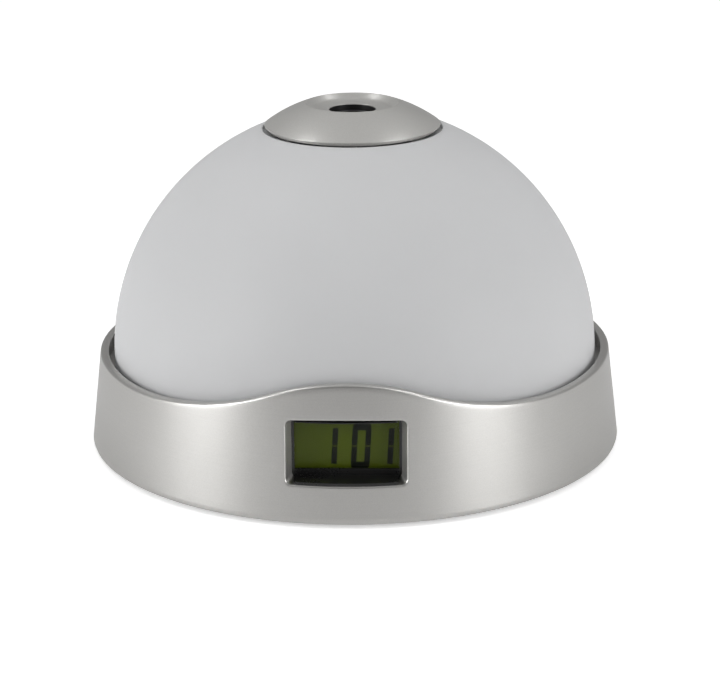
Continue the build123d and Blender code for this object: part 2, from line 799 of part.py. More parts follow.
with BuildPart() as controller_chip:
    with BuildSketch(Plane.XY.offset(board_top)):
        with Locations((0, -chip_place)):
            Rectangle(chip_w, chip_l)
    extrude(amount=chip_h)
    chamfer(controller_chip.faces().sort_by(Axis.Z)[-1].edges(), 0.4)
controller_chip.part.label = "controller_chip"
export_step(controller_chip.part, "parts/controller_chip.step")

# Crystal, two capacitors and a row of resistors
with BuildPart() as board_components:
    with BuildSketch(Plane.XY.offset(board_top)):
        with Locations((can_place, -chip_place)):
            with GridLocations(0, can_pitch, 1, 2):
                Circle(can_r)
    extrude(amount=can_h)
    with BuildSketch(Plane.XY.offset(board_top)):
        with Locations((-can_place, -chip_place)):
            Rectangle(crystal_l, crystal_w)
    extrude(amount=crystal_h)
    with BuildSketch(Plane.XY.offset(board_top)):
        with Locations((-chip_place, -can_place)):
            with GridLocations(resistor_pitch, resistor_pitch, 3, 2):
                Rectangle(resistor_l, resistor_w)
    extrude(amount=resistor_h)
board_components.part.label = "board_components"
export_step(board_components.part, "parts/board_components.step")

# ---------------------------------------------------------------- display
sill_z = window_z - window_h / 2 + 0.05
lintel_z = window_z + window_h / 2 - 0.05
view_low = sill_z + sill_t
view_high = lintel_z - lintel_t
glass_z = view_low - 1.0
shelf_w = window_w - 2 * (window_face - web_y) * tan(radians(window_draft)) - 2 * loose
with BuildPart() as display_bezel:
    with BuildSketch(Plane.XZ.offset(display_board_y)):
        with Locations((0, plate_top)):
            Rectangle(bezel_w, bezel_top - plate_top, align=(Align.CENTER, Align.MIN))
    extrude(amount=web_y - display_board_y)
    with BuildSketch(Plane.XZ, mode=Mode.PRIVATE) as inside_ring:
        with BuildLine():
            inner_low = ring_radius(plate_top) - ring_wall - snug
            inner_high = ring_radius(bezel_top) - ring_wall - snug
            Polyline(
                (0, plate_top), (inner_low, plate_top), (inner_high, bezel_top),
                (0, bezel_top), close=True,
            )
        make_face()
    revolve(inside_ring.sketch, axis=Axis.Z, mode=Mode.INTERSECT)
    # Shelves that line the floor and the top of the ring's opening
    with BuildPart(mode=Mode.PRIVATE) as shelves:
        with BuildSketch(Plane.XZ.offset(web_y)):
            with Locations((0, (sill_z + lintel_z) / 2)):
                RectangleRounded(shelf_w, lintel_z - sill_z, window_round)
        extrude(amount=ring_r - web_y)
        with BuildSketch(Plane.XZ):
            with BuildLine():
                Polyline(
                    (0, plate_top), (ring_radius(plate_top) - shelf_sink, plate_top),
                    (ring_radius(bezel_top) - shelf_sink, bezel_top), (0, bezel_top),
                    close=True,
                )
            make_face()
        revolve(axis=Axis.Z, mode=Mode.INTERSECT)
    add(shelves.part)
    with BuildSketch(Plane.XZ.offset(web_y)):
        with Locations((0, (view_low + view_high) / 2)):
            Rectangle(window_w, view_high - view_low)
    extrude(amount=ring_r - web_y, mode=Mode.SUBTRACT)
    with BuildSketch(Plane.XZ.offset(web_y)):
        with Locations((0, (view_low + view_floor + view_high) / 2)):
            Rectangle(view_w, view_high - view_low - view_floor)
    extrude(amount=-web_t, mode=Mode.SUBTRACT)
    with BuildSketch(Plane.XZ.offset(pane_y)):
        with Locations((0, glass_z - snug)):
            Rectangle(
                glass_w + 2 * snug, glass_h + 2 * snug, align=(Align.CENTER, Align.MIN)
            )
    extrude(amount=-(pane_y - display_board_y), mode=Mode.SUBTRACT)
    with BuildSketch(Plane.XZ.offset(display_board_y)):
        with Locations(*display_screw_spots):
            Circle(screw_r)
    extrude(amount=3.0, mode=Mode.SUBTRACT)
display_bezel.part.label = "display_bezel"
export_step(display_bezel.part, "parts/display_bezel.step")

with BuildPart() as display_window:
    with BuildSketch(Plane.XZ.offset(pane_y)):
        with Locations((0, glass_z)):
            Rectangle(glass_w, glass_h, align=(Align.CENTER, Align.MIN))
    extrude(amount=-pane_t)
display_window.part.label = "display_window"
export_step(display_window.part, "parts/display_window.step")

with BuildPart() as display_glass:
    with BuildSketch(Plane.XZ.offset(glass_y)):
        with Locations((0, glass_z)):
            Rectangle(glass_w, glass_h, align=(Align.CENTER, Align.MIN))
    extrude(amount=-glass_t)
display_glass.part.label = "display_glass"
export_step(display_glass.part, "parts/display_glass.step")

with BuildPart() as zebra_strip:
    with BuildSketch(Plane.XZ.offset(glass_y - glass_t)):
        with Locations((0, glass_z + 0.1)):
            Rectangle(glass_w - 2.6, zebra_h, align=(Align.CENTER, Align.MIN))
    extrude(amount=-(glass_y - glass_t - display_board_y))
zebra_strip.part.label = "zebra_strip"
export_step(zebra_strip.part, "parts/zebra_strip.step")

with BuildPart() as display_lightguide:
    with BuildSketch(Plane.XZ.offset(guide_y)):
        with Locations((0, glass_z + zebra_h + 0.4)):
            Rectangle(glass_w, glass_h - zebra_h - 0.5, align=(Align.CENTER, Align.MIN))
    extrude(amount=-guide_t)
display_lightguide.part.label = "display_lightguide"
export_step(display_lightguide.part, "parts/display_lightguide.step")

with BuildPart() as display_board:
    with BuildSketch(Plane.XZ.offset(display_board_y)):
        with Locations((0, plate_top + 0.2)):
            Rectangle(bezel_w, bezel_top - plate_top - 0.2, align=(Align.CENTER, Align.MIN))
        with Locations(*display_screw_spots):
            Circle(screw_r + 0.1, mode=Mode.SUBTRACT)
    extrude(amount=-display_board_t)
display_board.part.label = "display_board"
export_step(display_board.part, "parts/display_board.step")

# Right-angle pins from the display board to the main board
with BuildPart() as header_pins:
    with BuildSketch(Plane.XZ.offset(display_back_y)):
        with GridLocations(pin_pitch, 0, pin_count, 1):
            with Locations((0, board_top + 1.0)):
                Rectangle(pin_w, pin_w)
    extrude(amount=-3.2)
    with BuildSketch(Plane.XY.offset(board_top)):
        with Locations((0, -display_back_y + 2.95)):
            with GridLocations(pin_pitch, 0, pin_count, 1):
                Rectangle(pin_w, pin_w)
    extrude(amount=0.8)
header_pins.part.label = "header_pins"
export_step(header_pins.part, "parts/header_pins.step")

# ---------------------------------------------------------------- base plate
# Floor pan with the battery bay, key holes, slider slot, sound slots and board posts.
slot_l = slider_w + 2 * slider_travel + 2 * snug
seat_ring_h = 3.0
with BuildPart() as base_plate:
    with BuildSketch(Plane.XY.offset(plate_z)):
        Circle(plate_r)
    extrude(amount=plate_t)
    with BuildSketch(Plane.XY.offset(plate_top)):
        with Locations((0, bay_y - bay_wall)):
            Rectangle(
                bay_w + 2 * bay_wall, bay_l + 2 * bay_wall, align=(Align.CENTER, Align.MIN)
            )
    extrude(amount=bay_top - plate_top)
    with BuildSketch(Plane.XY.offset(plate_top)):
        with Locations((0, bay_y)):
            Rectangle(bay_w, bay_l, align=(Align.CENTER, Align.MIN))
    extrude(amount=roof_z - plate_top, mode=Mode.SUBTRACT)
    with BuildSketch(Plane.XY.offset(plate_z)):
        with Locations((0, bay_y)):
            Rectangle(opening_w, bay_l, align=(Align.CENTER, Align.MIN))
    extrude(amount=plate_t, mode=Mode.SUBTRACT)
    # Slots in the bay's front wall for the door's fingers
    with BuildSketch(Plane.XY.offset(plate_top)):
        for x in finger_xs:
            with Locations((x, bay_y)):
                Rectangle(finger_w + 2 * loose, 2 * bay_wall + 1)
    extrude(amount=2.2, mode=Mode.SUBTRACT)
    # Keys and slider
    with BuildSketch(Plane.XY.offset(plate_z)):
        for x in key_xs:
            with Locations((x, key_y)):
                Circle(key_r + snug)
        with Locations((slider_x, slider_y)):
            Rectangle(slot_l, slider_w + 2 * snug)
    extrude(amount=plate_t, mode=Mode.SUBTRACT)
    # Buzzer seat and sound slots
    with BuildSketch(Plane.XY.offset(plate_top)):
        with Locations((buzzer_x, buzzer_y)):
            Circle(buzzer_r + 1.2)
            Circle(buzzer_r - 1.0, mode=Mode.SUBTRACT)
    extrude(amount=seat_ring_h)
    with BuildSketch(Plane.XY.offset(plate_top + seat_ring_h)):
        with Locations((buzzer_x, buzzer_y)):
            Circle(buzzer_r + snug)
    extrude(amount=-1.2, mode=Mode.SUBTRACT)
    with BuildSketch(Plane.XY.offset(plate_z)):
        with Locations((buzzer_x, buzzer_y)):
            with GridLocations(3.0, 0, 5, 1):
                SlotOverall(11, 1.2, rotation=90)
    extrude(amount=plate_t, mode=Mode.SUBTRACT)
    # Posts of the main board
    with BuildSketch(Plane.XY.offset(plate_top)):
        with Locations(*board_posts):
            Circle(post_wall_r)
    extrude(amount=board_z - plate_top)
    with BuildSketch(Plane.XY.offset(board_z)):
        with Locations(*board_posts):
            Circle(screw_r)
    extrude(amount=-5, mode=Mode.SUBTRACT)
    # Recesses of the feet, and screw holes with sunk heads
    with BuildSketch(Plane.XY.offset(plate_z)):
        with PolarLocations(foot_place, 4, foot_angle):
            Circle(foot_r + 0.1)
    extrude(amount=foot_sink, mode=Mode.SUBTRACT)
    with BuildSketch(Plane.XY.offset(plate_z)):
        with Locations(*boss_spots):
            Circle(screw_r + 0.2)
    extrude(amount=plate_t, mode=Mode.SUBTRACT)
    with BuildSketch(Plane.XY.offset(plate_z)):
        with Locations(*boss_spots):
            Circle(head_r + snug)
    extrude(amount=1.0, mode=Mode.SUBTRACT)
base_plate.part.label = "base_plate"
export_step(base_plate.part, "parts/base_plate.step")

# Battery door: hooks at the front, and swings down about its rolled front edge
with BuildPart() as battery_door:
    with BuildSketch(Plane.XY.offset(plate_z)):
        with Locations((0, hinge_y)):
            Rectangle(
                opening_w - 2 * snug,
                bay_back - snug - hinge_y,
                align=(Align.CENTER, Align.MIN),
            )
    extrude(amount=door_t)
    with Locations((0, hinge_y, hinge_z)):
        Cylinder(door_t / 2, opening_w - 2 * snug, rotation=(0, 90, 0))
    with BuildSketch(Plane.XY.offset(hinge_z)):
        for x in finger_xs:
            with Locations((x, bay_y + snug)):
                Rectangle(finger_w, finger_root, align=(Align.CENTER, Align.MIN))
    extrude(amount=plate_top + 0.1 + finger_t - hinge_z)
    with BuildSketch(Plane.XY.offset(plate_top + 0.1)):
        for x in finger_xs:
            with Locations((x, bay_y + snug + finger_root)):
                Rectangle(
                    finger_w,
                    finger_root + snug + finger_t,
                    align=(Align.CENTER, Align.MAX),
                )
    extrude(amount=finger_t)
    # Thumb grooves near the rear edge
    with BuildSketch(Plane.XY.offset(plate_z)):
        with Locations((0, bay_back - 6)):
            with GridLocations(0, 1.8, 1, 4):
                Rectangle(12, 0.8)
    extrude(amount=0.4, mode=Mode.SUBTRACT)
battery_door.part.label = "battery_door"
export_step(battery_door.part, "parts/battery_door.step")

# Three cells, side by side and turned end for end in turn
with BuildPart() as battery_cells:
    for i, x in enumerate(cell_xs):
        nub_front = i % 2 == 0
        start = bay_y + contact_t + (0 if nub_front else spring_room)
        body_y = start + (nub_l if nub_front else 0)
        nub_y = start if nub_front else start + cell_l - nub_l
        with BuildSketch(Plane.XZ.offset(-body_y)):
            with Locations((x, cell_z)):
                Circle(cell_r)
        extrude(amount=-(cell_l - nub_l))
        with BuildSketch(Plane.XZ.offset(-nub_y)):
            with Locations((x, cell_z)):
                Circle(nub_r)
        extrude(amount=-nub_l)
battery_cells.part.label = "battery_cells"
export_step(battery_cells.part, "parts/battery_cells.step")

with BuildPart() as contact_plates:
    for y in (bay_y, bay_back - contact_t):
        with BuildSketch(Plane.XZ.offset(-y)):
            for x in cell_xs:
                with Locations((x, cell_z)):
                    Rectangle(8.6, 8.0)
        extrude(amount=-contact_t)
contact_plates.part.label = "contact_plates"
export_step(contact_plates.part, "parts/contact_plates.step")

# Contact coils at the flat ends of the cells
contact_wire_r = 0.3
with BuildPart() as battery_springs:
    for i, x in enumerate(cell_xs):
        at_back = i % 2 == 0
        y = bay_back - contact_t - spring_room if at_back else bay_y + contact_t
        rise = spring_room - 2 * contact_wire_r
        with BuildLine() as contact_coil:
            Helix(
                rise / 3, rise, 3.0,
                center=(x, y + contact_wire_r, cell_z), direction=(0, 1, 0),
            )
        with BuildSketch(Plane(contact_coil.line @ 0, z_dir=contact_coil.line % 0)):
            Circle(contact_wire_r)
        sweep(path=contact_coil.line)
battery_springs.part.label = "battery_springs"
export_step(battery_springs.part, "parts/battery_springs.step")

# ---------------------------------------------------------------- buzzer
with BuildPart() as buzzer:
    with BuildSketch(Plane.XY.offset(plate_top + seat_ring_h - 1.2)):
        with Locations((buzzer_x, buzzer_y)):
            Circle(buzzer_r)
    extrude(amount=buzzer_t)
    with BuildSketch(Plane.XY.offset(plate_top + seat_ring_h - 1.2 + buzzer_t)):
        with Locations((buzzer_x, buzzer_y)):
            Circle(buzzer_r * 0.7)
    extrude(amount=0.3)
buzzer.part.label = "buzzer"
export_step(buzzer.part, "parts/buzzer.step")

# ---------------------------------------------------------------- keys on the underside
switch_z = board_z - switch_h
stem_top = switch_z - key_travel - 0.15
for key_name, x in zip(key_names, key_xs):
    with BuildPart() as key:
        with BuildSketch(Plane.XY.offset(plate_z - key_proud)):
            with Locations((x, key_y)):
                Circle(key_r)
        extrude(amount=plate_t + key_proud)
        chamfer(key.edges().sort_by(Axis.Z)[0], 0.3)
        with BuildSketch(Plane.XY.offset(plate_top + 0.02)):
            with Locations((x, key_y)):
                Circle(key_r + 1.2)
        extrude(amount=key_flange_t)
        with BuildSketch(Plane.XY.offset(plate_top)):
            with Locations((x, key_y)):
                Circle(key_stem_r)
        extrude(amount=stem_top - plate_top)
    key.part.label = f"key_{key_name}"
    export_step(key.part, f"parts/key_{key_name}.step")

    with BuildPart() as plunger:
        with BuildSketch(Plane.XY.offset(stem_top + 0.02)):
            with Locations((x, key_y)):
                Circle(plunger_r)
        extrude(amount=key_travel + 1.2)
    plunger.part.label = f"plunger_{key_name}"
    export_step(plunger.part, f"parts/plunger_{key_name}.step")

with BuildPart() as key_switches:
    with BuildSketch(Plane.XY.offset(switch_z)):
        for x in key_xs:
            with Locations((x, key_y)):
                Rectangle(switch_w, switch_w)
    extrude(amount=switch_h)
    with BuildSketch(Plane.XY.offset(switch_z)):
        for x in key_xs:
            with Locations((x, key_y)):
                Circle(plunger_r + slip)
    extrude(amount=key_travel + 1.6, mode=Mode.SUBTRACT)
key_switches.part.label = "key_switches"
export_step(key_switches.part, "parts/key_switches.step")

# ---------------------------------------------------------------- lamp slider
slide_body_h = 3.4
slide_body_z = board_z - slide_body_h
with BuildPart() as lamp_slider:
    with BuildSketch(Plane.XY.offset(plate_z - key_proud)):
        with Locations((slider_x, slider_y)):
            Rectangle(slider_w, slider_w)
    extrude(amount=plate_t + key_proud + 0.05)
    with BuildSketch(Plane.XY.offset(plate_top + 0.05)):
        with Locations((slider_x, slider_y)):
            Rectangle(slot_l + 2 * slider_travel + 1, slider_w + 3)
    extrude(amount=0.9)
    with BuildSketch(Plane.XY.offset(plate_top + 0.05)):
        with Locations((slider_x, slider_y)):
            Rectangle(2, 2)
    extrude(amount=slide_body_z + 0.8 - plate_top)
lamp_slider.part.label = "lamp_slider"
export_step(lamp_slider.part, "parts/lamp_slider.step")

with BuildPart() as slide_switch:
    with BuildSketch(Plane.XY.offset(slide_body_z)):
        with Locations((slider_x, slider_y)):
            Rectangle(2 * slider_travel + 6, 5)
    extrude(amount=slide_body_h)
    with BuildSketch(Plane.XY.offset(slide_body_z)):
        with Locations((slider_x, slider_y)):
            Rectangle(2 * slider_travel + 2 + 2 * snug, 2 + 2 * snug)
    extrude(amount=1.6, mode=Mode.SUBTRACT)
slide_switch.part.label = "slide_switch"
export_step(slide_switch.part, "parts/slide_switch.step")


# ---------------------------------------------------------------- screws and feet
def pan_screws(spots, seat, shank, up):
    """Pan-head screws at spots: the head under the seat height if up, else over it."""
    way = 1 if up else -1
    with BuildPart() as screws:
        with BuildSketch(Plane.XY.offset(seat)):
            with Locations(*spots):
                Circle(head_r)
        extrude(amount=-way * head_t)
        with BuildSketch(Plane.XY.offset(seat)):
            with Locations(*spots):
                Circle(screw_r - 0.02)
        extrude(amount=way * shank)
        with BuildSketch(Plane.XY.offset(seat - way * head_t)):
            with Locations(*spots):
                Rectangle(cross_l, cross_w)
                Rectangle(cross_w, cross_l)
        extrude(amount=way * cross_depth, mode=Mode.SUBTRACT)
    return screws


base_screws = pan_screws(boss_spots, plate_z + 1.0, base_screw_l, True)
base_screws.part.label = "base_screws"
export_step(base_screws.part, "parts/base_screws.step")

board_screws = pan_screws(board_posts, board_top, board_screw_l, False)
board_screws.part.label = "board_screws"
export_step(board_screws.part, "parts/board_screws.step")

pad_spots = ring_spots(pad_place, (45, 135, 225, 315))
reflector_screws = pan_screws(pad_spots, reflector_top, reflector_t + lip_t + 1.5, False)
reflector_screws.part.label = "reflector_screws"
export_step(reflector_screws.part, "parts/reflector_screws.step")

tower_spots = ring_spots(tower_screw_place, (90, 210, 330))
tower_screws = pan_screws(
    tower_spots, tower_flange_top, tower_flange_top - led_board_z, False
)
tower_screws.part.label = "tower_screws"
export_step(tower_screws.part, "parts/tower_screws.step")

with BuildPart() as display_screws:
    with BuildSketch(Plane.XZ.offset(display_back_y)):
        with Locations(*display_screw_spots):
            Circle(head_r - 0.3)
    extrude(amount=-1.0)
    with BuildSketch(Plane.XZ.offset(display_back_y)):
        with Locations(*display_screw_spots):
            Circle(screw_r - 0.02)
    extrude(amount=display_board_t + 2.5)
display_screws.part.label = "display_screws"
export_step(display_screws.part, "parts/display_screws.step")

with BuildPart() as feet:
    with BuildSketch(Plane.XY):
        with PolarLocations(foot_place, 4, foot_angle):
            Circle(foot_r)
    extrude(amount=foot_top)
    chamfer(feet.edges().group_by(Axis.Z)[0], 0.3)
feet.part.label = "feet"
export_step(feet.part, "parts/feet.step")
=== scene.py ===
import math

import bmesh
import bpy
from mathutils import Matrix, Vector


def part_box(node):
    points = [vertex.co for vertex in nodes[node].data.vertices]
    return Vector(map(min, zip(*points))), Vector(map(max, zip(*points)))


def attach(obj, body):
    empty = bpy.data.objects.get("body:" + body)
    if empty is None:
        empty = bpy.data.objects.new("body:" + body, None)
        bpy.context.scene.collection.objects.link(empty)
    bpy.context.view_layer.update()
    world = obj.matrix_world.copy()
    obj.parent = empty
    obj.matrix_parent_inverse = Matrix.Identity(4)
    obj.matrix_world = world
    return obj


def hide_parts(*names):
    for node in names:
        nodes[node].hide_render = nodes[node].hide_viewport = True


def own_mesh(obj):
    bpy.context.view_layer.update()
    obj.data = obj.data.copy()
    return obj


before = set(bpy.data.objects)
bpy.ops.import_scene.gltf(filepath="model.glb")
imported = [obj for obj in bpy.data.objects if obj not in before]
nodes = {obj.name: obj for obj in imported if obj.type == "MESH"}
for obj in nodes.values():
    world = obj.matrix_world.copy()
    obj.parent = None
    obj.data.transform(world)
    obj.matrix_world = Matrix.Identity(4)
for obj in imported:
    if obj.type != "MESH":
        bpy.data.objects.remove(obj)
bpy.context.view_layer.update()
MM = 0.001
MICRON = MM / 1000

# ------------------------------------------------------------------ camera
# The clock is seen from a little above, its display turned slightly to the left.
view_distance = 480 * MM
view_height = 176.7 * MM
view_turn = math.radians(1.8)
view_pitch = math.radians(18.0)
view_roll = math.radians(0.5)
camera_data = bpy.data.cameras.new("camera")
camera_data.lens = 114.6
camera_data.sensor_width = 36
camera_data.clip_start = 0.01
camera = bpy.data.objects.new("camera", camera_data)
side_step = 1.2 * MM
camera.location = (
    view_distance * math.sin(view_turn) + side_step * math.cos(view_turn),
    -view_distance * math.cos(view_turn) + side_step * math.sin(view_turn),
    view_height,
)
camera.rotation_euler = (
    Matrix.Rotation(view_turn, 3, "Z")
    @ Matrix.Rotation(math.pi / 2 - view_pitch, 3, "X")
    @ Matrix.Rotation(-view_roll, 3, "Z")
).to_euler()
bpy.context.scene.collection.objects.link(camera)
bpy.context.scene.camera = camera


# ------------------------------------------------------------------ base ring
# A moulded shell in satin silver lacquer. Its rim rises in a smooth hump over the display
# opening, whose side walls narrow inwards; a flange inside carries the dome.
class Wire:
    """A shader socket in a sum: each operator adds the Math node that works it out."""

    def __init__(self, finish, socket):
        self.finish, self.socket = finish, socket

    def _sum(self, operation, *values):
        return self.finish.node("ShaderNodeMath", {"operation": operation}, values)

    def __add__(self, other):
        return self._sum("ADD", self, other)

    __radd__ = __add__

    def __sub__(self, other):
        return self._sum("SUBTRACT", self, other)

    def __rsub__(self, other):
        return self._sum("SUBTRACT", other, self)

    def __mul__(self, other):
        return self._sum("MULTIPLY", self, other)

    __rmul__ = __mul__

    def __truediv__(self, other):
        return self._sum("DIVIDE", self, other)

    def above(self, level):
        return self._sum("GREATER_THAN", self, level)


class Finish:
    """One material under construction, read by the piece's own object coordinates."""

    def __init__(self, name):
        self.material = bpy.data.materials.new(name)
        self.material.use_nodes = True
        self.tree = self.material.node_tree
        self.tree.nodes.clear()
        self.place = self.node("ShaderNodeTexCoord", output="Object")

    def node(self, kind, settings=None, inputs=(), output=0):
        """Adds a node: its settings first, then the values or links of its sockets."""
        made = self.tree.nodes.new(kind)
        for key, value in (settings or {}).items():
            setattr(made, key, value)
        pairs = inputs.items() if isinstance(inputs, dict) else enumerate(inputs)
        for key, value in pairs:
            if isinstance(value, Wire):
                self.tree.links.new(value.socket, made.inputs[key])
            else:
                made.inputs[key].default_value = value
        return Wire(self, made.outputs[output])

    def axis(self, letter):
        return self.node("ShaderNodeSeparateXYZ", {}, {0: self.place}, letter)

    def noise(self, scale, detail, place=None):
        sockets = {"Vector": place or self.place, "Scale": scale, "Detail": detail}
        return self.node("ShaderNodeTexNoise", {}, sockets, "Fac")

    def mix(self, share, low, high):
        """Colour between low and high, each a wire or a (red, green, blue)."""
        low, high = (tone if isinstance(tone, Wire) else (*tone, 1) for tone in (low, high))
        sockets = {"Factor": share, 6: low, 7: high}
        return self.node("ShaderNodeMix", {"data_type": "RGBA"}, sockets, 2)

    def bump(self, height, depth):
        sockets = {"Height": height, "Distance": depth, "Strength": 1.0}
        return self.node("ShaderNodeBump", {}, sockets)

    def skin(self, **sockets):
        """Ends the material in a Principled surface; names_like_this are its sockets."""
        named = {key.replace("_", " "): value for key, value in sockets.items()}
        return self.end(self.node("ShaderNodeBsdfPrincipled", {}, named))

    def end(self, surface):
        ending = self.tree.nodes.new("ShaderNodeOutputMaterial")
        self.tree.links.new(surface.socket, ending.inputs["Surface"])
        return self.material


def new_piece(name, mesh_maker, material, body, replaced=(), sharpest=38):
    """Makes a mesh object from a filled bmesh, smooth up to an angle in degrees."""
    mesh = bpy.data.meshes.new(name)
    mesh_maker.normal_update()
    for edge in mesh_maker.edges:
        bent = len(edge.link_faces) == 2 and edge.calc_face_angle(0) > math.radians(sharpest)
        edge.smooth = not bent
    for face in mesh_maker.faces:
        face.smooth = True
    mesh_maker.to_mesh(mesh)
    mesh_maker.free()
    mesh.materials.append(material)
    piece = bpy.data.objects.new(name, mesh)
    bpy.context.scene.collection.objects.link(piece)
    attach(piece, body)
    if replaced:
        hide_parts(*replaced)
    return piece


def rounded(corners, radii, steps=5):
    """A closed outline of (r, z) corners, each turned into an arc of its radius."""
    outline = []
    count = len(corners)
    for index, (corner, radius) in enumerate(zip(corners, radii)):
        here = Vector(corner)
        before = (Vector(corners[index - 1]) - here).normalized()
        after = (Vector(corners[(index + 1) % count]) - here).normalized()
        if radius == 0:
            outline.append(here)
            continue
        half = before.angle(after) / 2
        centre = here + (before + after).normalized() * radius / math.sin(half)
        start = here + before * radius / math.tan(half) - centre
        sweep = start.angle_signed(here + after * radius / math.tan(half) - centre)
        for step in range(steps + 1):
            turn = Matrix.Rotation(-sweep * step / steps, 2)
            outline.append(centre + turn @ start)
    return outline


# Metal flakes in a clear binder, over the faint streaks of a turned mould.
lacquer = Finish("silver_lacquer")
flakes = lacquer.noise(5200, 1.0)
cloud = lacquer.noise(45, 2.0)
streak_place = lacquer.node("ShaderNodeCombineXYZ", {}, {"Z": lacquer.axis("Z")})
streaks = lacquer.noise(2600, 3.0, streak_place)
dark_silver, pale_silver = (0.44, 0.434, 0.42), (0.58, 0.572, 0.555)
silver = lacquer.skin(
    Base_Color=lacquer.mix(flakes * 0.7 + streaks * 0.3, dark_silver, pale_silver), Metallic=0.8,
    Roughness=0.33 + (cloud - 0.5) * 0.06 + (flakes - 0.5) * 0.06,
    Normal=lacquer.bump(flakes * 0.6 + streaks * 0.4, 8 * MICRON),
)

ring_low, ring_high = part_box("base_ring")
ring_r = ring_high.x
ring_foot = ring_low.z
rim_z = ring_foot + 20.0 * MM
crest_z = ring_high.z
ring_slope = math.tan(math.radians(6.84))
ring_wall = 1.8 * MM
hump_half = 47.0 * MM
crest_r = 45.0 * MM
hump_rise = crest_z - rim_z
arcs_r = (hump_half**2 + hump_rise**2) / (2 * hump_rise)
meet_x = hump_half * crest_r / arcs_r
flange_low, flange_high, flange_r = 15.4 * MM, 17.2 * MM, 43.5 * MM
opening_w, opening_h = 24.3 * MM, 12.9 * MM
opening_z = 15.05 * MM
opening_round = 1.2 * MM
opening_draft = math.tan(math.radians(19))
opening_arch = 0.4 * MM
opening_edge = 0.35 * MM
jamb_y = 51.72 * MM                   # how far back the opening's walls reach
front_reach = math.radians(16.0)      # the part of the ring around the opening


def ring_radius(z):
    return ring_r - (z - ring_foot) * ring_slope


def rim_height(x, front):
    """Height of the rim where it stands at x: the crest's arc, then a hollow arc."""
    if not front or abs(x) >= hump_half:
        return rim_z
    if abs(x) < meet_x:
        return crest_z - crest_r + math.sqrt(crest_r**2 - x * x)
    hollow_r = arcs_r - crest_r
    return rim_z + hollow_r - math.sqrt(hollow_r**2 - (hump_half - abs(x)) ** 2)


def ring_point(angle, inset, z):
    """A point inset from the ring's outer face; angle 0 is the front, + to the right."""
    r = ring_radius(z) - inset
    return Vector((r * math.sin(angle), -r * math.cos(angle), z))


corner_steps = 6                      # points along each half corner of the opening
ring_rows = 26                        # rows up the outside of the wall, and down its inside
rim_steps, lip_steps = 6, 4           # steps round the rim's outer and inner edge
rim_round, lip_round = 0.5 * MM, 0.3 * MM
foot_round, foot_bend, foot_chamfer = 0.35 * MM, 0.1 * MM, 0.2 * MM


def opening_outline(along, up, grow):
    """Rounded outline of the opening in (x, z), as many points a side as the patch has."""
    radius = opening_round + grow
    half_w, half_h = opening_w / 2 + grow, opening_h / 2 + grow
    points = []
    sides = ((1, 0, along), (0, 1, up), (-1, 0, along), (0, -1, up))
    for index, (way_x, way_z, count) in enumerate(sides):
        half = half_w if way_x else half_h
        other = half_h if way_x else half_w
        out = Vector((way_z, -way_x))
        way = Vector((way_x, way_z))
        for step in range(count):
            if step < corner_steps:
                turn = math.pi / 4 * (1 - step / corner_steps)
                spot = out * (other - radius + radius * math.cos(turn))
                spot -= way * (half - radius + radius * math.sin(turn))
            elif step > count - corner_steps:
                turn = math.pi / 4 * (step - count + corner_steps) / corner_steps
                spot = out * (other - radius + radius * math.cos(turn))
                spot += way * (half - radius + radius * math.sin(turn))
            else:
                reach = (step - corner_steps) / (count - 2 * corner_steps)
                spot = out * other + way * (half - radius) * (2 * reach - 1)
            if spot.y > 0:
                spot.y += opening_arch * (1 - (spot.x / half_w) ** 2) * spot.y / half_h
            points.append(spot + Vector((0, opening_z)))
    return points


# The wall is a grid of columns round the axis. Two blocks of it, outside and inside, are
# left open for the display, and rings of faces lead from them to the rounded opening.
def ring_section(angle):
    """(inset, z) points up the outside of the wall at one angle and down its inside."""
    front = math.cos(angle) > 0
    top = rim_height(ring_radius(rim_z + hump_rise / 2) * math.sin(angle), front)
    low = ring_foot + foot_round
    points = [(foot_round, ring_foot), (foot_bend, ring_foot + foot_bend), (0, low)]
    high = top - rim_round
    points += [(0, low + (high - low) * row / ring_rows) for row in range(1, ring_rows)]
    for step in range(rim_steps + 1):
        turn = math.pi / 2 * step / rim_steps
        points.append((rim_round * (1 - math.cos(turn)), high + rim_round * math.sin(turn)))
    high = top - lip_round
    for step in range(lip_steps + 1):
        turn = math.pi / 2 * step / lip_steps
        inset = ring_wall - lip_round * (1 - math.sin(turn))
        points.append((inset, high + lip_round * math.cos(turn)))
    low = ring_foot + foot_chamfer
    rows = range(1, ring_rows + 1)
    points += [(ring_wall, high + (low - high) * row / ring_rows) for row in rows]
    points.append((ring_wall - foot_chamfer, ring_foot))
    return points


def opening_ring(maker, across, upright, grow, depth):
    """One ring of vertices on the opening's outline, set back by depth from the wall."""
    ring = []
    for x, z in opening_outline(across, upright, grow):
        y = -math.sqrt(ring_radius(z) ** 2 - x * x) + depth
        x *= 1 - depth * opening_draft / (opening_w / 2)
        ring.append(maker.verts.new((x, y, z)))
    return ring


def jamb_ring(maker, across, upright, grow):
    """The ring of vertices where the opening's walls end inside."""
    half = opening_w / 2
    face = math.sqrt(ring_radius(opening_z) ** 2 - half**2)
    share = 1 - (face - jamb_y) * opening_draft / half
    outline = opening_outline(across, upright, grow)
    return [maker.verts.new((x * share, -jamb_y, z)) for x, z in outline]


def bridge(maker, first, second):
    """Faces between two closed rings of as many vertices."""
    for index in range(len(first)):
        after = (index + 1) % len(first)
        maker.faces.new((first[index], first[after], second[after], second[index]))


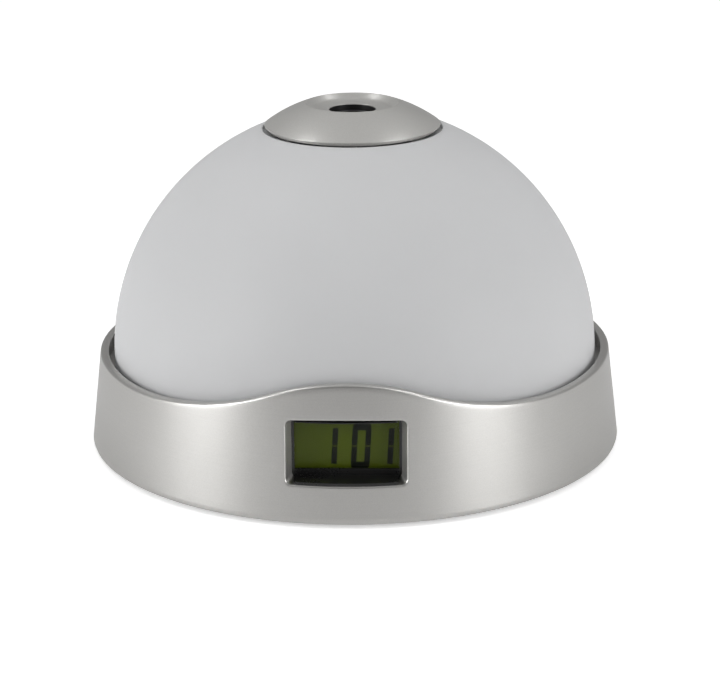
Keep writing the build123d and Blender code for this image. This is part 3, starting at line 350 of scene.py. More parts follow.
def block_edge(grid, columns, low, high):
    """The vertices round a block of the grid, from its lower left corner to the right."""
    first, last = columns
    up = range(low, high, 1 if high > low else -1)
    down = range(high, low, 1 if low > high else -1)
    edge = [grid[column][low] for column in range(first, last)]
    edge += [grid[last][row] for row in up]
    edge += [grid[column][high] for column in range(last, first, -1)]
    return edge + [grid[first][row] for row in down]


maker = bmesh.new()
fine, coarse = 80, 220                # columns in front of the display, and in the rest
angles = [-front_reach + 2 * front_reach * k / fine for k in range(fine)]
rest = 2 * math.pi - 2 * front_reach
angles += [front_reach + rest * k / coarse for k in range(coarse)]
grid = []
for angle in angles:
    column = [maker.verts.new(ring_point(angle, *spot)) for spot in ring_section(angle)]
    grid.append(column)
foot_rows = 2                         # rows of the rounded foot
block = (5, fine - 5)                 # columns of the two blocks left open
outside = (foot_rows + 6, foot_rows + 23)
lip_end = foot_rows + ring_rows + rim_steps + lip_steps + 1
inside = (lip_end + 20, lip_end + 3)  # the inner block's lowest and highest rows
for index in range(len(grid)):
    here, after = grid[index], grid[(index + 1) % len(grid)]
    for row in range(len(here)):
        past = (row + 1) % len(here)
        open_column = block[0] <= index < block[1]
        if open_column and (outside[0] <= row < outside[1] or inside[1] <= row < inside[0]):
            continue
        maker.faces.new((here[row], after[row], after[past], here[past]))
across, upright = block[1] - block[0], outside[1] - outside[0]
edge = block_edge(grid, block, *outside)
target = opening_ring(maker, across, upright, opening_edge, 0)
rings = [edge]
blend_steps, edge_steps = 8, 6        # from the block to the opening, and round its edge
for step in range(1, blend_steps):
    ring = []
    for start, end in zip(edge, target):
        spot = start.co.lerp(end.co, step / blend_steps)
        spot.y = -math.sqrt(ring_radius(spot.z) ** 2 - spot.x**2)
        ring.append(maker.verts.new(spot))
    rings.append(ring)
rings.append(target)
for step in range(1, edge_steps + 1):
    turn = math.pi / 2 * step / edge_steps
    grow, depth = opening_edge * (1 - math.sin(turn)), opening_edge * (1 - math.cos(turn))
    rings.append(opening_ring(maker, across, upright, grow, depth))
wall_end, jamb_t = 1.2 * MM, 0.9 * MM  # depth of the wall at the opening, and its jambs
rings.append(opening_ring(maker, across, upright, 0, wall_end))
rings.append(jamb_ring(maker, across, upright, 0))
rings.append(jamb_ring(maker, across, upright, jamb_t))
rings.append(block_edge(grid, block, *inside))
for first, second in zip(rings, rings[1:]):
    bridge(maker, first, second)


def lathe(maker, outline, steps, start=0.0, sweep=2 * math.pi):
    """Revolves a closed (r, z) outline about the axis; a part turn gets flat ends."""
    whole = sweep >= 2 * math.pi
    rings = []
    for step in range(steps if whole else steps + 1):
        angle = start + sweep * step / steps
        across, along = math.sin(angle), -math.cos(angle)
        rings.append([maker.verts.new((r * across, r * along, z)) for r, z in outline])
    pairs = list(zip(rings, rings[1:])) + ([(rings[-1], rings[0])] if whole else [])
    for first, second in pairs:
        bridge(maker, first, second)
    if not whole:
        maker.faces.new(rings[0])
        maker.faces.new(rings[-1][::-1])


def post(maker, x, y, low, high, radius):
    """A round post with a small chamfer at its ends."""
    rings = []
    steps, bevel = 32, min(0.15 * MM, radius / 3)
    side = [(radius - bevel, low), (radius, low + bevel), (radius, high - bevel)]
    turns = [2 * math.pi * step / steps for step in range(steps)]
    for r, z in side + [(radius - bevel, high)]:
        circle = [(x + r * math.cos(turn), y + r * math.sin(turn), z) for turn in turns]
        rings.append([maker.verts.new(spot) for spot in circle])
    for first, second in zip(rings, rings[1:]):
        bridge(maker, first, second)
    maker.faces.new(rings[0][::-1])
    maker.faces.new(rings[-1])


flange_root = 55.2 * MM               # how far the flange reaches into the wall
flange = [(flange_r, flange_low), (flange_root, flange_low)]
flange += [(flange_root, flange_high), (flange_r, flange_high)]
gap = math.radians(24)                # the flange stops short of the display on each side
lathe(maker, rounded(flange, [0.2 * MM, 0, 0, 0.2 * MM]), 160, gap, 2 * math.pi - 2 * gap)
plate_top, reflector_z = 3.4 * MM, 18.4 * MM
bosses = ((20, 160, 200, 340), 49.5 * MM, plate_top, flange_low, 3.2 * MM)
pads = ((45, 135, 225, 315), 46.3 * MM, flange_high, reflector_z, 2.5 * MM)
for places, place_r, foot_z, top_z, post_r in (bosses, pads):
    for turn in map(math.radians, places):
        x, y = place_r * math.cos(turn), place_r * math.sin(turn)
        post(maker, x, y, foot_z, top_z, post_r)
bmesh.ops.recalc_face_normals(maker, faces=maker.faces)
new_piece("ring_shell", maker, silver, "case", ["base_ring"])


# ------------------------------------------------------------------ dome
# A half ball in frosted, milky plastic. Its skirt stands inside the ring, with a notch at
# the front that the display reaches through, and its top has a sunk seat for the cap.
def moulded(name, low, high, rough, speck, grain, relief, **extra):
    """Moulded plastic: a fine texture of that grain, and a slow change of tone and sheen."""
    finish = Finish(name)
    texture = finish.noise(grain, 3.0)
    cloud = finish.noise(60, 2.0)
    tone = finish.mix(texture * speck + cloud * (1 - speck), low, high)
    rough = rough + (cloud - 0.5) * 0.08 + (texture - 0.5) * 0.05
    return finish.skin(
        Base_Color=tone, Roughness=rough, Normal=finish.bump(texture, relief), **extra
    )


def arc(radius, centre_z, low, high, steps):
    """(r, z) points up a ball's side, from height low to height high."""
    first = math.asin((low - centre_z) / radius)
    sweep = math.asin((high - centre_z) / radius) - first
    turns = [first + sweep * step / steps for step in range(steps + 1)]
    return [(radius * math.cos(t), centre_z + radius * math.sin(t)) for t in turns]


frosted = moulded(
    "frosted_dome", (0.522, 0.525, 0.532), (0.552, 0.555, 0.562),
    rough=0.56, speck=0.3, grain=2600, relief=4 * MICRON,
    Subsurface_Weight=0.35, Subsurface_Radius=(1, 1, 1), Subsurface_Scale=3 * MM,
    Specular_IOR_Level=0.4,
)
dome_z = 19.8 * MM
dome_r, dome_in = 52.6 * MM, 50.8 * MM
notch_top = 23.8 * MM
seat_r, seat_z, seat_low = 19.2 * MM, 67.972 * MM, 65.972 * MM
dome_hole_r = 17.0 * MM
lip_r, lip_z = 49.3 * MM, 18.4 * MM   # the skirt's inward lip, which stands on the flange
side = arc(dome_r, dome_z, notch_top, dome_z + math.sqrt(dome_r**2 - seat_r**2), 60)
lining = arc(dome_in, dome_z, notch_top, seat_low, 40)
up = [(dome_r, flange_high), (dome_r, lip_z), (dome_r, dome_z)]
up += arc(dome_r, dome_z, rim_z, notch_top - 1 * MM, 2)
seat = [(seat_r, seat_z), (dome_hole_r, seat_z), (dome_hole_r, seat_low)]
down = [(dome_in, dome_z), (dome_in, lip_z), (lip_r, lip_z), (lip_r, flange_high)]
corners = up + side + seat + lining[::-1] + down
radii = [0] * len(corners)
top_corner = len(up) + len(side) - 1
radii[top_corner] = 0.22 * MM
radii[top_corner + 2] = 0.2 * MM
outline = rounded(corners, radii, 4)
low_row = len(up)                     # the last row under the notch's top
high_row = len(outline) - len(down) - 1
maker = bmesh.new()
notch = math.radians(16.6)            # half the notch, seen from the axis
fine, coarse = 24, 232                # columns over the notch, and in the rest
angles = [-notch + 2 * notch * k / fine for k in range(fine)]
angles += [notch + (2 * math.pi - 2 * notch) * k / coarse for k in range(coarse)]
grid = []
for angle in angles:
    across, along = math.sin(angle), -math.cos(angle)
    grid.append([maker.verts.new((r * across, r * along, z)) for r, z in outline])
for index in range(len(grid)):
    here, after = grid[index], grid[(index + 1) % len(grid)]
    for row in range(len(outline)):
        past = (row + 1) % len(outline)
        if index < fine and (row < low_row or row >= high_row):
            continue
        maker.faces.new((here[row], after[row], after[past], here[past]))
    if index < fine:
        maker.faces.new((here[high_row], after[high_row], after[low_row], here[low_row]))
for column in (grid[0], grid[fine]):
    maker.faces.new(column[: low_row + 1] + column[high_row:])
for vertex in [v for v in maker.verts if not v.link_faces]:
    maker.verts.remove(vertex)
bmesh.ops.recalc_face_normals(maker, faces=maker.faces)
new_piece("dome", maker, frosted, "case", ["dome_shade"])

# ------------------------------------------------------------------ press cap
# A turned silver button with a dish round the beam's hole; under it a guide hub, three
# hooks that hold it to the dome and three posts that press the switches.
cap_r, cap_z, cap_edge = 18.8 * MM, 69.272 * MM, 69.472 * MM
cap_ball, cap_centre, cap_wall = 31.7 * MM, 43.948 * MM, 1.6 * MM
lining_top = 71.69 * MM
dish_z = 74.063 * MM                  # the dish's brim, the clock's highest edge
dish_foot = (8.5 * MM, 72.80 * MM)    # where the dish's floor meets its wall
hole_r, hole_z, cap_under = 5.0 * MM, 72.633 * MM, 70.733 * MM
hub_r, hub_out, hub_low, hub_root = 10.58 * MM, 11.58 * MM, 60.53 * MM, 71.4 * MM
step_out, step_in, step_z = 18.1 * MM, 17.3 * MM, cap_z - 0.62 * MM
crown = arc(cap_ball, cap_centre, cap_edge, dish_z, 40)[::-1]
lining = arc(cap_ball - cap_wall, cap_centre, cap_edge, lining_top, 16)
skirt = [(cap_r, cap_z), (step_out, cap_z), (step_out, step_z), (step_in, step_z)]
hub = [(hub_out, hub_root), (hub_out, hub_low), (hub_r, hub_low), (hub_r, cap_under)]
corners = [(hole_r, cap_under), (hole_r, hole_z), dish_foot] + crown + skirt + lining + hub
radii = [0] * len(corners)
radii[1:4] = [0.12 * MM, 1.6 * MM, 0.2 * MM]
brim_corner = 2 + len(crown)          # the crown's lower end, then the edge under it
radii[brim_corner : brim_corner + 2] = [0.26 * MM, 0.06 * MM]
maker = bmesh.new()
lathe(maker, rounded(corners, radii, 6), 192)

# The cap's lacquer is a copy of the ring's with a darker tone: the darkening is painted shade,
# while the flakes and cloud are the lacquer's own.
cap_skin = Finish("silver_lacquer_cap_shaded")
flakes = cap_skin.noise(5200, 1.0)
cloud = cap_skin.noise(45, 2.0)
cap_shaded_tone = cap_skin.mix(flakes, (0.38, 0.375, 0.36), (0.48, 0.474, 0.457))
level_place = cap_skin.node(
    "ShaderNodeVectorMath", {"operation": "MULTIPLY"}, [cap_skin.place, (1, 1, 0)]
)
from_axis = cap_skin.node("ShaderNodeVectorMath", {"operation": "LENGTH"}, [level_place], "Value")
black_within_r = 11.0 * MM                    # the beam's way is black out to this radius
# Within this radius and below the hole's brim the cap is coloured near-black and not metallic.
black_within = (1 - from_axis.above(black_within_r)) * (1 - cap_skin.axis("Z").above(hole_z - 0.2 * MM))
shaded_cap_silver = cap_skin.skin(
    Base_Color=cap_skin.mix(black_within, cap_shaded_tone, (0.012, 0.012, 0.012)),
    Metallic=0.3 * (1 - black_within), Roughness=0.33 + (cloud - 0.5) * 0.06 + (flakes - 0.5) * 0.06,
    Normal=cap_skin.bump(flakes, 6 * MICRON),
)


def brick(maker, size, place, turn):
    """A block with softened edges, turned about the vertical through the origin."""
    made = bmesh.ops.create_cube(maker, size=1.0)["verts"]
    spot = Matrix.Rotation(turn, 4, "Z") @ Matrix.Translation(place) @ Matrix.Diagonal((*size, 1))
    bmesh.ops.transform(maker, matrix=spot, verts=made)
    edges = list(dict.fromkeys(edge for vertex in made for edge in vertex.link_edges))
    bmesh.ops.bevel(maker, geom=edges, offset=0.1 * MM, segments=2, affect="EDGES", profile=0.5)


hook_w = 6 * MM
hook_arm = (1.2 * MM, hook_w, 4.4 * MM), (15.8 * MM, 0, 67.9 * MM)
hook_barb = (2.4 * MM, hook_w, 1.3 * MM), (16.4 * MM, 0, 65.22 * MM)
for turn in map(math.radians, (90, 210, 330)):
    for block_size, block_place in (hook_arm, hook_barb):
        brick(maker, block_size, block_place, turn)
finger_place, finger_low, finger_top, finger_r = 13.8 * MM, 63.08 * MM, 71.0 * MM, 1.3 * MM
for turn in map(math.radians, (30, 150, 270)):
    x, y = finger_place * math.cos(turn), finger_place * math.sin(turn)
    post(maker, x, y, finger_low, finger_top, finger_r)
bmesh.ops.recalc_face_normals(maker, faces=maker.faces)
new_piece("press_cap", maker, shaded_cap_silver, "cap", ["top_cap"])

# ------------------------------------------------------------------ display
# A black frame holds a clear pane over the LCD. The digits are thin dark segments that
# lie on the glass, each mitred towards its neighbours.
black_plastic = moulded(
    "black_plastic", (0.010, 0.010, 0.011), (0.016, 0.016, 0.017),
    rough=0.38, speck=0.5, grain=3200, relief=12 * MICRON,
)
bezel_black = moulded(
    "black_plastic_bezel", (0.008, 0.008, 0.008), (0.013, 0.013, 0.013),
    rough=0.27, speck=0.5, grain=3200, relief=8 * MICRON,
)


def dress(material, *names):
    """Gives CAD nodes their finish."""
    for name in names:
        nodes[name].data.materials.clear()
        nodes[name].data.materials.append(material)


def softened(name, node, width, material, body):
    """A CAD node's own shape, with each hard edge rounded to that width."""
    maker = bmesh.new()
    maker.from_mesh(nodes[node].data)
    bmesh.ops.remove_doubles(maker, verts=maker.verts, dist=MICRON)
    flat, steep = math.radians(0.5), math.radians(50)
    bmesh.ops.dissolve_limit(maker, angle_limit=flat, verts=maker.verts, edges=maker.edges)
    hard = [e for e in maker.edges if len(e.link_faces) == 2 and e.calc_face_angle(0) > steep]
    bmesh.ops.bevel(
        maker, geom=hard, offset=width, segments=2, affect="EDGES", profile=0.5, clamp_overlap=True
    )
    new_piece(name, maker, material, body, [node], sharpest=20)


softened("bezel_frame", "display_bezel", 0.12 * MM, bezel_black, "case")


def clear_sheet(name, tint, rough, least):
    """A clear sheet: a mirror whose alpha grows from least towards grazing angles."""
    finish = Finish(name)
    grazing = finish.node("ShaderNodeFresnel", {}, {"IOR": 1.49})
    smudge = finish.noise(350, 2.0)
    return finish.skin(
        Base_Color=(*tint, 1), Metallic=1.0, Roughness=rough + smudge * 0.03,
        Alpha=least + grazing * 0.1,
    )


pane = clear_sheet("clear_pane", (0.95, 0.95, 0.95), 0.03, 0.0)
dress(pane, "display_window")

cell_finish = Finish("display_cell")
film = cell_finish.noise(4200, 2.0)
cloud = cell_finish.noise(120, 2.0)
mottle = film * 0.5 + cloud * 0.5
dark_olive, pale_olive = (0.058, 0.080, 0.004), (0.074, 0.100, 0.007)
olive = cell_finish.mix(mottle, dark_olive, pale_olive)
display_cell = cell_finish.skin(
    Base_Color=olive, Roughness=0.32 + (cloud - 0.5) * 0.08,
    Normal=cell_finish.bump(film, 4 * MICRON), Specular_IOR_Level=0.12,
)
dress(display_cell, "display_glass")

ink = Finish("lcd_ink")
ink_grain = ink.noise(5200, 2.0)
ink_tone = ink.mix(ink_grain, (0.004, 0.005, 0.003), (0.007, 0.009, 0.005))
lcd_ink = ink.skin(Base_Color=ink_tone, Roughness=0.4 + ink_grain * 0.1, Specular_IOR_Level=0.1)

digit_pitch, colon_gap = 4.60 * MM, 2.02 * MM
digit_w, digit_h, stroke = 3.8 * MM, 9.3 * MM, 1.12 * MM
digit_z = 14.83 * MM
slant = math.tan(math.radians(3.4))
split = 0.1 * MM                      # half the gap between two segments
glass_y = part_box("display_glass")[0].y
half_h = digit_h / 2
bar, chamfer = 1.3 * MM, 0.35 * MM    # the height of a level bar, and its cut corners
side_h = half_h - 0.8 * MM            # how far the upright bars reach from the middle
bar_inset = 0.08 * MM                 # a level bar is this much narrower at each end
bar_end, upright_x = digit_w - bar_inset, digit_w - stroke
level_bar = [
    (bar_inset, half_h - chamfer), (chamfer, half_h), (digit_w - chamfer, half_h),
    (bar_end, half_h - chamfer), (bar_end, side_h + split),
    (upright_x, half_h - bar), (stroke, half_h - bar), (bar_inset, side_h + split),
]
right_bar = [(digit_w, split), (digit_w, side_h), (upright_x, side_h - split), (upright_x, split)]
segments = {
    "top": level_bar,
    "bottom": [(x, -z) for x, z in level_bar],
    "right": right_bar,
    "lower_right": [(x, -z) for x, z in right_bar],
    "left": [(digit_w - x, z) for x, z in right_bar],
    "lower_left": [(digit_w - x, -z) for x, z in right_bar],
}
one = ("right", "lower_right")
middle = 0.93 * MM                    # the middle digit's left side, seen from the display
shown = {middle - digit_pitch - colon_gap: one, middle: segments, middle + digit_pitch: one}
ink_t, ink_gap = 0.03 * MM, 0.002 * MM
ink_y = glass_y - ink_gap - ink_t
maker = bmesh.new()
for left, names in shown.items():
    for name in names:
        corners = [(left + x + z * slant, ink_y, digit_z + z) for x, z in segments[name]]
        face = maker.faces.new([maker.verts.new(corner) for corner in corners])
        pulled = bmesh.ops.extrude_face_region(maker, geom=[face])["geom"]
        lifted = [v for v in pulled if isinstance(v, bmesh.types.BMVert)]
        bmesh.ops.translate(maker, vec=(0, ink_t, 0), verts=lifted)
bmesh.ops.recalc_face_normals(maker, faces=maker.faces)
new_piece("lcd_digits", maker, lcd_ink, "case")


# ------------------------------------------------------------------ focus ring and lens
# A black moulded ring under the cap's hole, with 20 grip ribs for a fingertip. Turning it
# raises the lens cell in its thread.
class Layout(Finish):
    """A Geometry Nodes tree under construction, with a named input for each size."""

    def __init__(self, name, *sizes):
        self.tree = bpy.data.node_groups.new(name, "GeometryNodeTree")
        add = self.tree.interface.new_socket
        add("Start", in_out="INPUT", socket_type="NodeSocketGeometry")
        for size in sizes:
            whole = size in ("Count", "Turns")
            add(size, in_out="INPUT", socket_type="NodeSocketInt" if whole else "NodeSocketFloat")
        add("Skin", in_out="INPUT", socket_type="NodeSocketMaterial")
        add("Result", in_out="OUTPUT", socket_type="NodeSocketGeometry")
        entry = self.tree.nodes.new("NodeGroupInput")
        self.size = {socket.name: Wire(self, socket) for socket in entry.outputs if socket.name}

    def vector(self, x=0.0, y=0.0, z=0.0):
        return self.node("ShaderNodeCombineXYZ", {}, [x, y, z])

    def joined(self, *shapes):
        made = self.tree.nodes.new("GeometryNodeJoinGeometry")
        for shape in shapes:
            self.tree.links.new(shape.socket, made.inputs[0])
        return Wire(self, made.outputs[0])

    def moved(self, shape, shift):
        return self.node("GeometryNodeTransform", {}, {"Geometry": shape, "Translation": shift})

    def finished(self, shape):
        """Ends the tree in a plain mesh with its material."""
        plain = self.node("GeometryNodeRealizeInstances", {}, {"Geometry": shape})
        skinned = self.node(
            "GeometryNodeSetMaterial", {}, {"Geometry": plain, "Material": self.size["Skin"]}
        )
        ending = self.tree.nodes.new("NodeGroupOutput")
        self.tree.links.new(skinned.socket, ending.inputs["Result"])


def grown(name, layout, start, values, body, replaced):
    """Runs a layout on a starting mesh, and keeps what it makes as a plain piece."""
    piece = bpy.data.objects.new(name, start)
    bpy.context.scene.collection.objects.link(piece)
    modifier = piece.modifiers.new("layout", "NODES")
    modifier.node_group = layout.tree
    for item in layout.tree.interface.items_tree:
        if item.in_out == "INPUT" and item.name in values:
            modifier[item.identifier] = values[item.name]
    ready = piece.evaluated_get(bpy.context.evaluated_depsgraph_get())
    mesh = bpy.data.meshes.new_from_object(ready)
    piece.modifiers.remove(modifier)
    piece.data = mesh
    mesh.name = name
    mesh.polygons.foreach_set("use_smooth", [True] * len(mesh.polygons))
    mesh.set_sharp_from_angle(angle=math.radians(38))
    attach(piece, body)
    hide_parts(replaced)


def turned(outline, steps):
    """A lathed mesh about the clock's axis."""
    maker = bmesh.new()
    lathe(maker, outline, steps)
    bmesh.ops.remove_doubles(maker, verts=maker.verts, dist=MICRON)
    bmesh.ops.recalc_face_normals(maker, faces=maker.faces)
    mesh = bpy.data.meshes.new("turned")
    maker.to_mesh(mesh)
    maker.free()
    return mesh


# Sets one upright shape, rounded at both ends, on a circle, and adds what it starts from.
ribbing = Layout("ribbing", "Count", "Circle Radius", "Rib Radius", "Rib Height", "Rib Foot")
ribs = ribbing.size
circle = ribbing.node(
    "GeometryNodeMeshCircle", {}, {"Vertices": ribs["Count"], "Radius": ribs["Circle Radius"]}
)
circle = ribbing.moved(circle, ribbing.vector(z=ribs["Rib Foot"] + ribs["Rib Height"] / 2))
rod = ribbing.node(
    "GeometryNodeMeshCylinder", {"fill_type": "TRIANGLE_FAN"},
    {"Vertices": 10, "Fill Segments": 2, "Radius": ribs["Rib Radius"], "Depth": ribs["Rib Height"]},
)
spot = ribbing.node("GeometryNodeInputPosition")
x, y, z = (ribbing.node("ShaderNodeSeparateXYZ", {}, [spot], axis) for axis in "XYZ")
share = (x * x + y * y) / (ribs["Rib Radius"] * ribs["Rib Radius"])
crowned = ribbing.vector(x, y, z * (1 - share * ribs["Rib Radius"] / ribs["Rib Height"]))
rod = ribbing.node("GeometryNodeSetPosition", {}, {"Geometry": rod, "Position": crowned})
around = ribbing.node("GeometryNodeInstanceOnPoints", {}, {"Points": circle, "Instance": rod})
ribbing.finished(ribbing.joined(ribs["Start"], around))

focus_low, focus_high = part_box("focus_ring")
grip_r, grip_bore = 4.6 * MM, 3.7 * MM
neck_z = focus_high.z - 5.2 * MM      # the flat round the grip
neck_r, collar_z = 7.65 * MM, focus_low.z + 5.05 * MM
thread_r, thread_in, thread_top = 7.08 * MM, 6.68 * MM, 64.33 * MM
corners = [
    (thread_r, focus_low.z), (focus_high.x, focus_low.z), (focus_high.x, collar_z),
    (neck_r, collar_z), (neck_r, neck_z), (grip_r, neck_z), (grip_r, focus_high.z),
    (grip_bore, focus_high.z), (grip_bore, neck_z - 1.0 * MM), (thread_in, thread_top),
    (thread_r, thread_top),
]
radii = [0, 0.2 * MM, 0.2 * MM, 0, 0.4 * MM, 0.3 * MM, 0.3 * MM, 0.15 * MM, 0.2 * MM, 0, 0]
grown(
    "ribbed_grip", ribbing, turned(rounded(corners, radii, 4), 96),
    {"Count": 20, "Circle Radius": grip_r - 0.08 * MM, "Rib Radius": 0.22 * MM,
     "Rib Height": 4.4 * MM, "Rib Foot": neck_z + 0.3 * MM, "Skin": black_plastic},
    "focus", "focus_ring",
)

# ------------------------------------------------------------------ projector
# The lens cell, the column it slides in and the rings that clamp its parts are moulded in
# black. Clear polished lenses stand before and behind a small display in the beam.
softened("lens_barrel", "lens_cell", 0.1 * MM, black_plastic, "lens")
for name, node in (("light_tower", "projector_tower"), ("collar", "tower_collar"),
                   ("lens_clamp", "condenser_ring"), ("lcd_clamp", "lcd_keeper")):
    softened(name, node, 0.15 * MM, black_plastic, "case")
optics = clear_sheet("optics", (0.90, 0.93, 0.96), 0.02, 0.12)
dress(optics, "objective_lens", "condenser_lens")
dress(display_cell, "projector_lcd")

# ------------------------------------------------------------------ base plate and door
# A dark pan, moulded with a fine texture, closes the clock from below. The battery door,
# in the same plastic, hooks in at the front of its bay and swings down.
dark_pan = moulded(
    "dark_pan", (0.022, 0.022, 0.024), (0.034, 0.034, 0.036),
    rough=0.55, speck=0.6, grain=1500, relief=40 * MICRON,
)
door_skin = moulded(
    "dark_pan_door", (0.025, 0.025, 0.027), (0.036, 0.036, 0.038),
    rough=0.52, speck=0.6, grain=1500, relief=40 * MICRON,
)
softened("floor_pan", "base_plate", 0.15 * MM, dark_pan, "case")
softened("bay_door", "battery_door", 0.15 * MM, door_skin, "door")

# ------------------------------------------------------------------ keys and slider
# Four round grey keys, each with a hollow for a fingertip and a flange that keeps it in the
# pan, and the grey knob of the lamp's slide switch.
key_grey = moulded(
    "key_grey", (0.36, 0.36, 0.37), (0.42, 0.42, 0.43),
    rough=0.4, speck=0.5, grain=2200, relief=10 * MICRON,
)
softened("slider_knob", "lamp_slider", 0.12 * MM, key_grey, "slider")
key_r, key_flange_r, stem_r = 3.4 * MM, 4.6 * MM, 1.5 * MM
key_flange_low = plate_top + 0.02 * MM
key_flange_high = plate_top + 0.82 * MM
key_dip, key_dip_r = 0.1 * MM, key_r - 1.2 * MM  # the hollow a fingertip finds
for name in ("time", "alarm", "hour", "minute"):
    low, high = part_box("key_" + name)
    corners = [
        (0, low.z + key_dip), (key_dip_r, low.z), (key_r, low.z), (key_r, key_flange_low),
        (key_flange_r, key_flange_low), (key_flange_r, key_flange_high),
        (stem_r, key_flange_high), (stem_r, high.z), (0, high.z),
    ]
    radii = [0, 2.0 * MM, 0.35 * MM, 0, 0.12 * MM, 0.12 * MM, 0.2 * MM, 0.12 * MM, 0]
    maker = bmesh.new()
    lathe(maker, rounded(corners, radii, 4), 64)
    bmesh.ops.remove_doubles(maker, verts=maker.verts, dist=MICRON)
    centre = ((low.x + high.x) / 2, (low.y + high.y) / 2, 0)
    bmesh.ops.translate(maker, vec=centre, verts=maker.verts)
    bmesh.ops.recalc_face_normals(maker, faces=maker.faces)
    new_piece("button_" + name, maker, key_grey, f"key_{name}_body", ["key_" + name])

# ------------------------------------------------------------------ feet
# Four soft rubber feet, moulded with a dimple, stand in recesses of the pan. The strip that
# joins the display to its board is of the same rubber.
soft_rubber = moulded(
    "soft_rubber", (0.018, 0.018, 0.018), (0.03, 0.03, 0.03),
    rough=0.8, speck=0.6, grain=1200, relief=50 * MICRON,
)
dress(soft_rubber, "zebra_strip")

# Copies a shape onto points evenly spaced on a circle.
ring_of = Layout("ring_of_shapes", "Count", "Circle Radius", "First Turn")
size = ring_of.size
places = ring_of.node(
    "GeometryNodeMeshCircle", {}, {"Vertices": size["Count"], "Radius": size["Circle Radius"]}
)
first = ring_of.node("FunctionNodeEulerToRotation", {}, [ring_of.vector(z=size["First Turn"])])
places = ring_of.node("GeometryNodeTransform", {}, {"Geometry": places, "Rotation": first})
ring_of.finished(ring_of.node(
    "GeometryNodeInstanceOnPoints", {}, {"Points": places, "Instance": size["Start"]}
))
foot_low, foot_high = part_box("feet")
foot_r = 5.0 * MM
foot_out = (foot_high.x - foot_r) * math.sqrt(2)
dimple_z = foot_low.z + 0.25 * MM
corners = [
    (0, dimple_z), (2.6 * MM, dimple_z), (3.0 * MM, foot_low.z),
    (foot_r, foot_low.z), (foot_r, foot_high.z), (0, foot_high.z),
]
radii = [0, 0.2 * MM, 0.1 * MM, 0.5 * MM, 0.1 * MM, 0]
grown(
    "rubber_feet", ring_of, turned(rounded(corners, radii, 4), 64),
    {"Count": 4, "Circle Radius": foot_out, "First Turn": math.pi / 4, "Skin": soft_rubber},
    "case", "feet",
)

# ------------------------------------------------------------------ springs and contacts
# Zinc-plated steel makes the coils and plates that touch the cells, the pins between two
# boards, and the return coil between the tower's collar and the cap.
steel_finish = Finish("steel")
scratch = steel_finish.noise(2200, 3.0)
steel_tone = steel_finish.mix(scratch, (0.48, 0.48, 0.49), (0.62, 0.62, 0.63))
steel = steel_finish.skin(
    Base_Color=steel_tone, Metallic=1.0, Roughness=0.24 + scratch * 0.14,
    Normal=steel_finish.bump(scratch, 6 * MICRON),
)
dress(steel, "battery_springs", "contact_plates", "header_pins")

# The return coil stands on the collar and shortens as the cap goes down.
maker = bmesh.new()
maker.from_mesh(nodes["cap_spring"].data)
bmesh.ops.remove_doubles(maker, verts=maker.verts, dist=MICRON)
return_coil = new_piece("return_coil", maker, steel, "case", ["cap_spring"])
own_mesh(return_coil)


# ------------------------------------------------------------------ screws
# Cross-head pan screws in zinc-plated steel, with a rolled thread. The same pattern serves
# the base, the boards, the reflector, the tower and the display.
def solids(name):
    """The lowest and highest corners of each separate solid of a CAD node, in order."""
    maker = bmesh.new()
    maker.from_mesh(nodes[name].data)
    bmesh.ops.remove_doubles(maker, verts=maker.verts, dist=MICRON)
    left, boxes = set(maker.verts), []
    while left:
        reached = [left.pop()]
        low, high = reached[0].co.copy(), reached[0].co.copy()
        while reached:
            vertex = reached.pop()
            low = Vector(map(min, low, vertex.co))
            high = Vector(map(max, high, vertex.co))
            linked = {edge.other_vert(vertex) for edge in vertex.link_edges} & left
            left -= linked
            reached += linked
        boxes.append((low, high))
    maker.free()
    return sorted(boxes, key=lambda box: [round(v, 5) for v in (*box[0], *box[1])])


screw = Layout(
    "pan_screw", "Turns", "Head Radius", "Head Height", "Shank Radius", "Shank Length",
    "Recess Length", "Recess Width", "Recess Depth", "Tilt",
)
size = screw.size
head = screw.node(
    "GeometryNodeMeshCylinder", {"fill_type": "TRIANGLE_FAN"},
    {"Vertices": 36, "Fill Segments": 5, "Radius": size["Head Radius"],
     "Depth": size["Head Height"]},
)
spot = screw.node("GeometryNodeInputPosition")
x, y, z = (screw.node("ShaderNodeSeparateXYZ", {}, [spot], axis) for axis in "XYZ")
share = (x * x + y * y) / (size["Head Radius"] * size["Head Radius"])
rim_fall = 0.4                        # how far the head's rim falls, of its height
fall = z.above(0.0) * share * share * size["Head Height"] * rim_fall
head = screw.node(
    "GeometryNodeSetPosition", {},
    {"Geometry": head, "Position": screw.vector(x, y, z + size["Head Height"] / 2 - fall)},
)
cutters = [
    screw.node(
        "GeometryNodeMeshCube", {}, {"Size": screw.vector(long, wide, size["Recess Depth"] * 2)}
    )
    for long, wide in (
        (size["Recess Length"], size["Recess Width"]), (size["Recess Width"], size["Recess Length"])
    )
]
cross = screw.moved(screw.joined(*cutters), screw.vector(z=size["Head Height"]))
head = screw.node(
    "GeometryNodeMeshBoolean", {"operation": "DIFFERENCE", "solver": "EXACT"},
    {"Mesh 1": head, "Mesh 2": cross, "Self Intersection": True},
)
ridge_r = size["Shank Radius"] * 0.1
ridge_sink = 1.5                      # of the ridge's own radius, so that its foot is buried
thread_share, thread_end = 0.9, 0.97  # of the shank: its threaded length, and its last turn
core = screw.node(
    "GeometryNodeMeshCylinder", {},
    {"Vertices": 20, "Radius": size["Shank Radius"] - ridge_r * ridge_sink,
     "Depth": size["Shank Length"]},
)
core = screw.moved(core, screw.vector(z=size["Shank Length"] / -2))
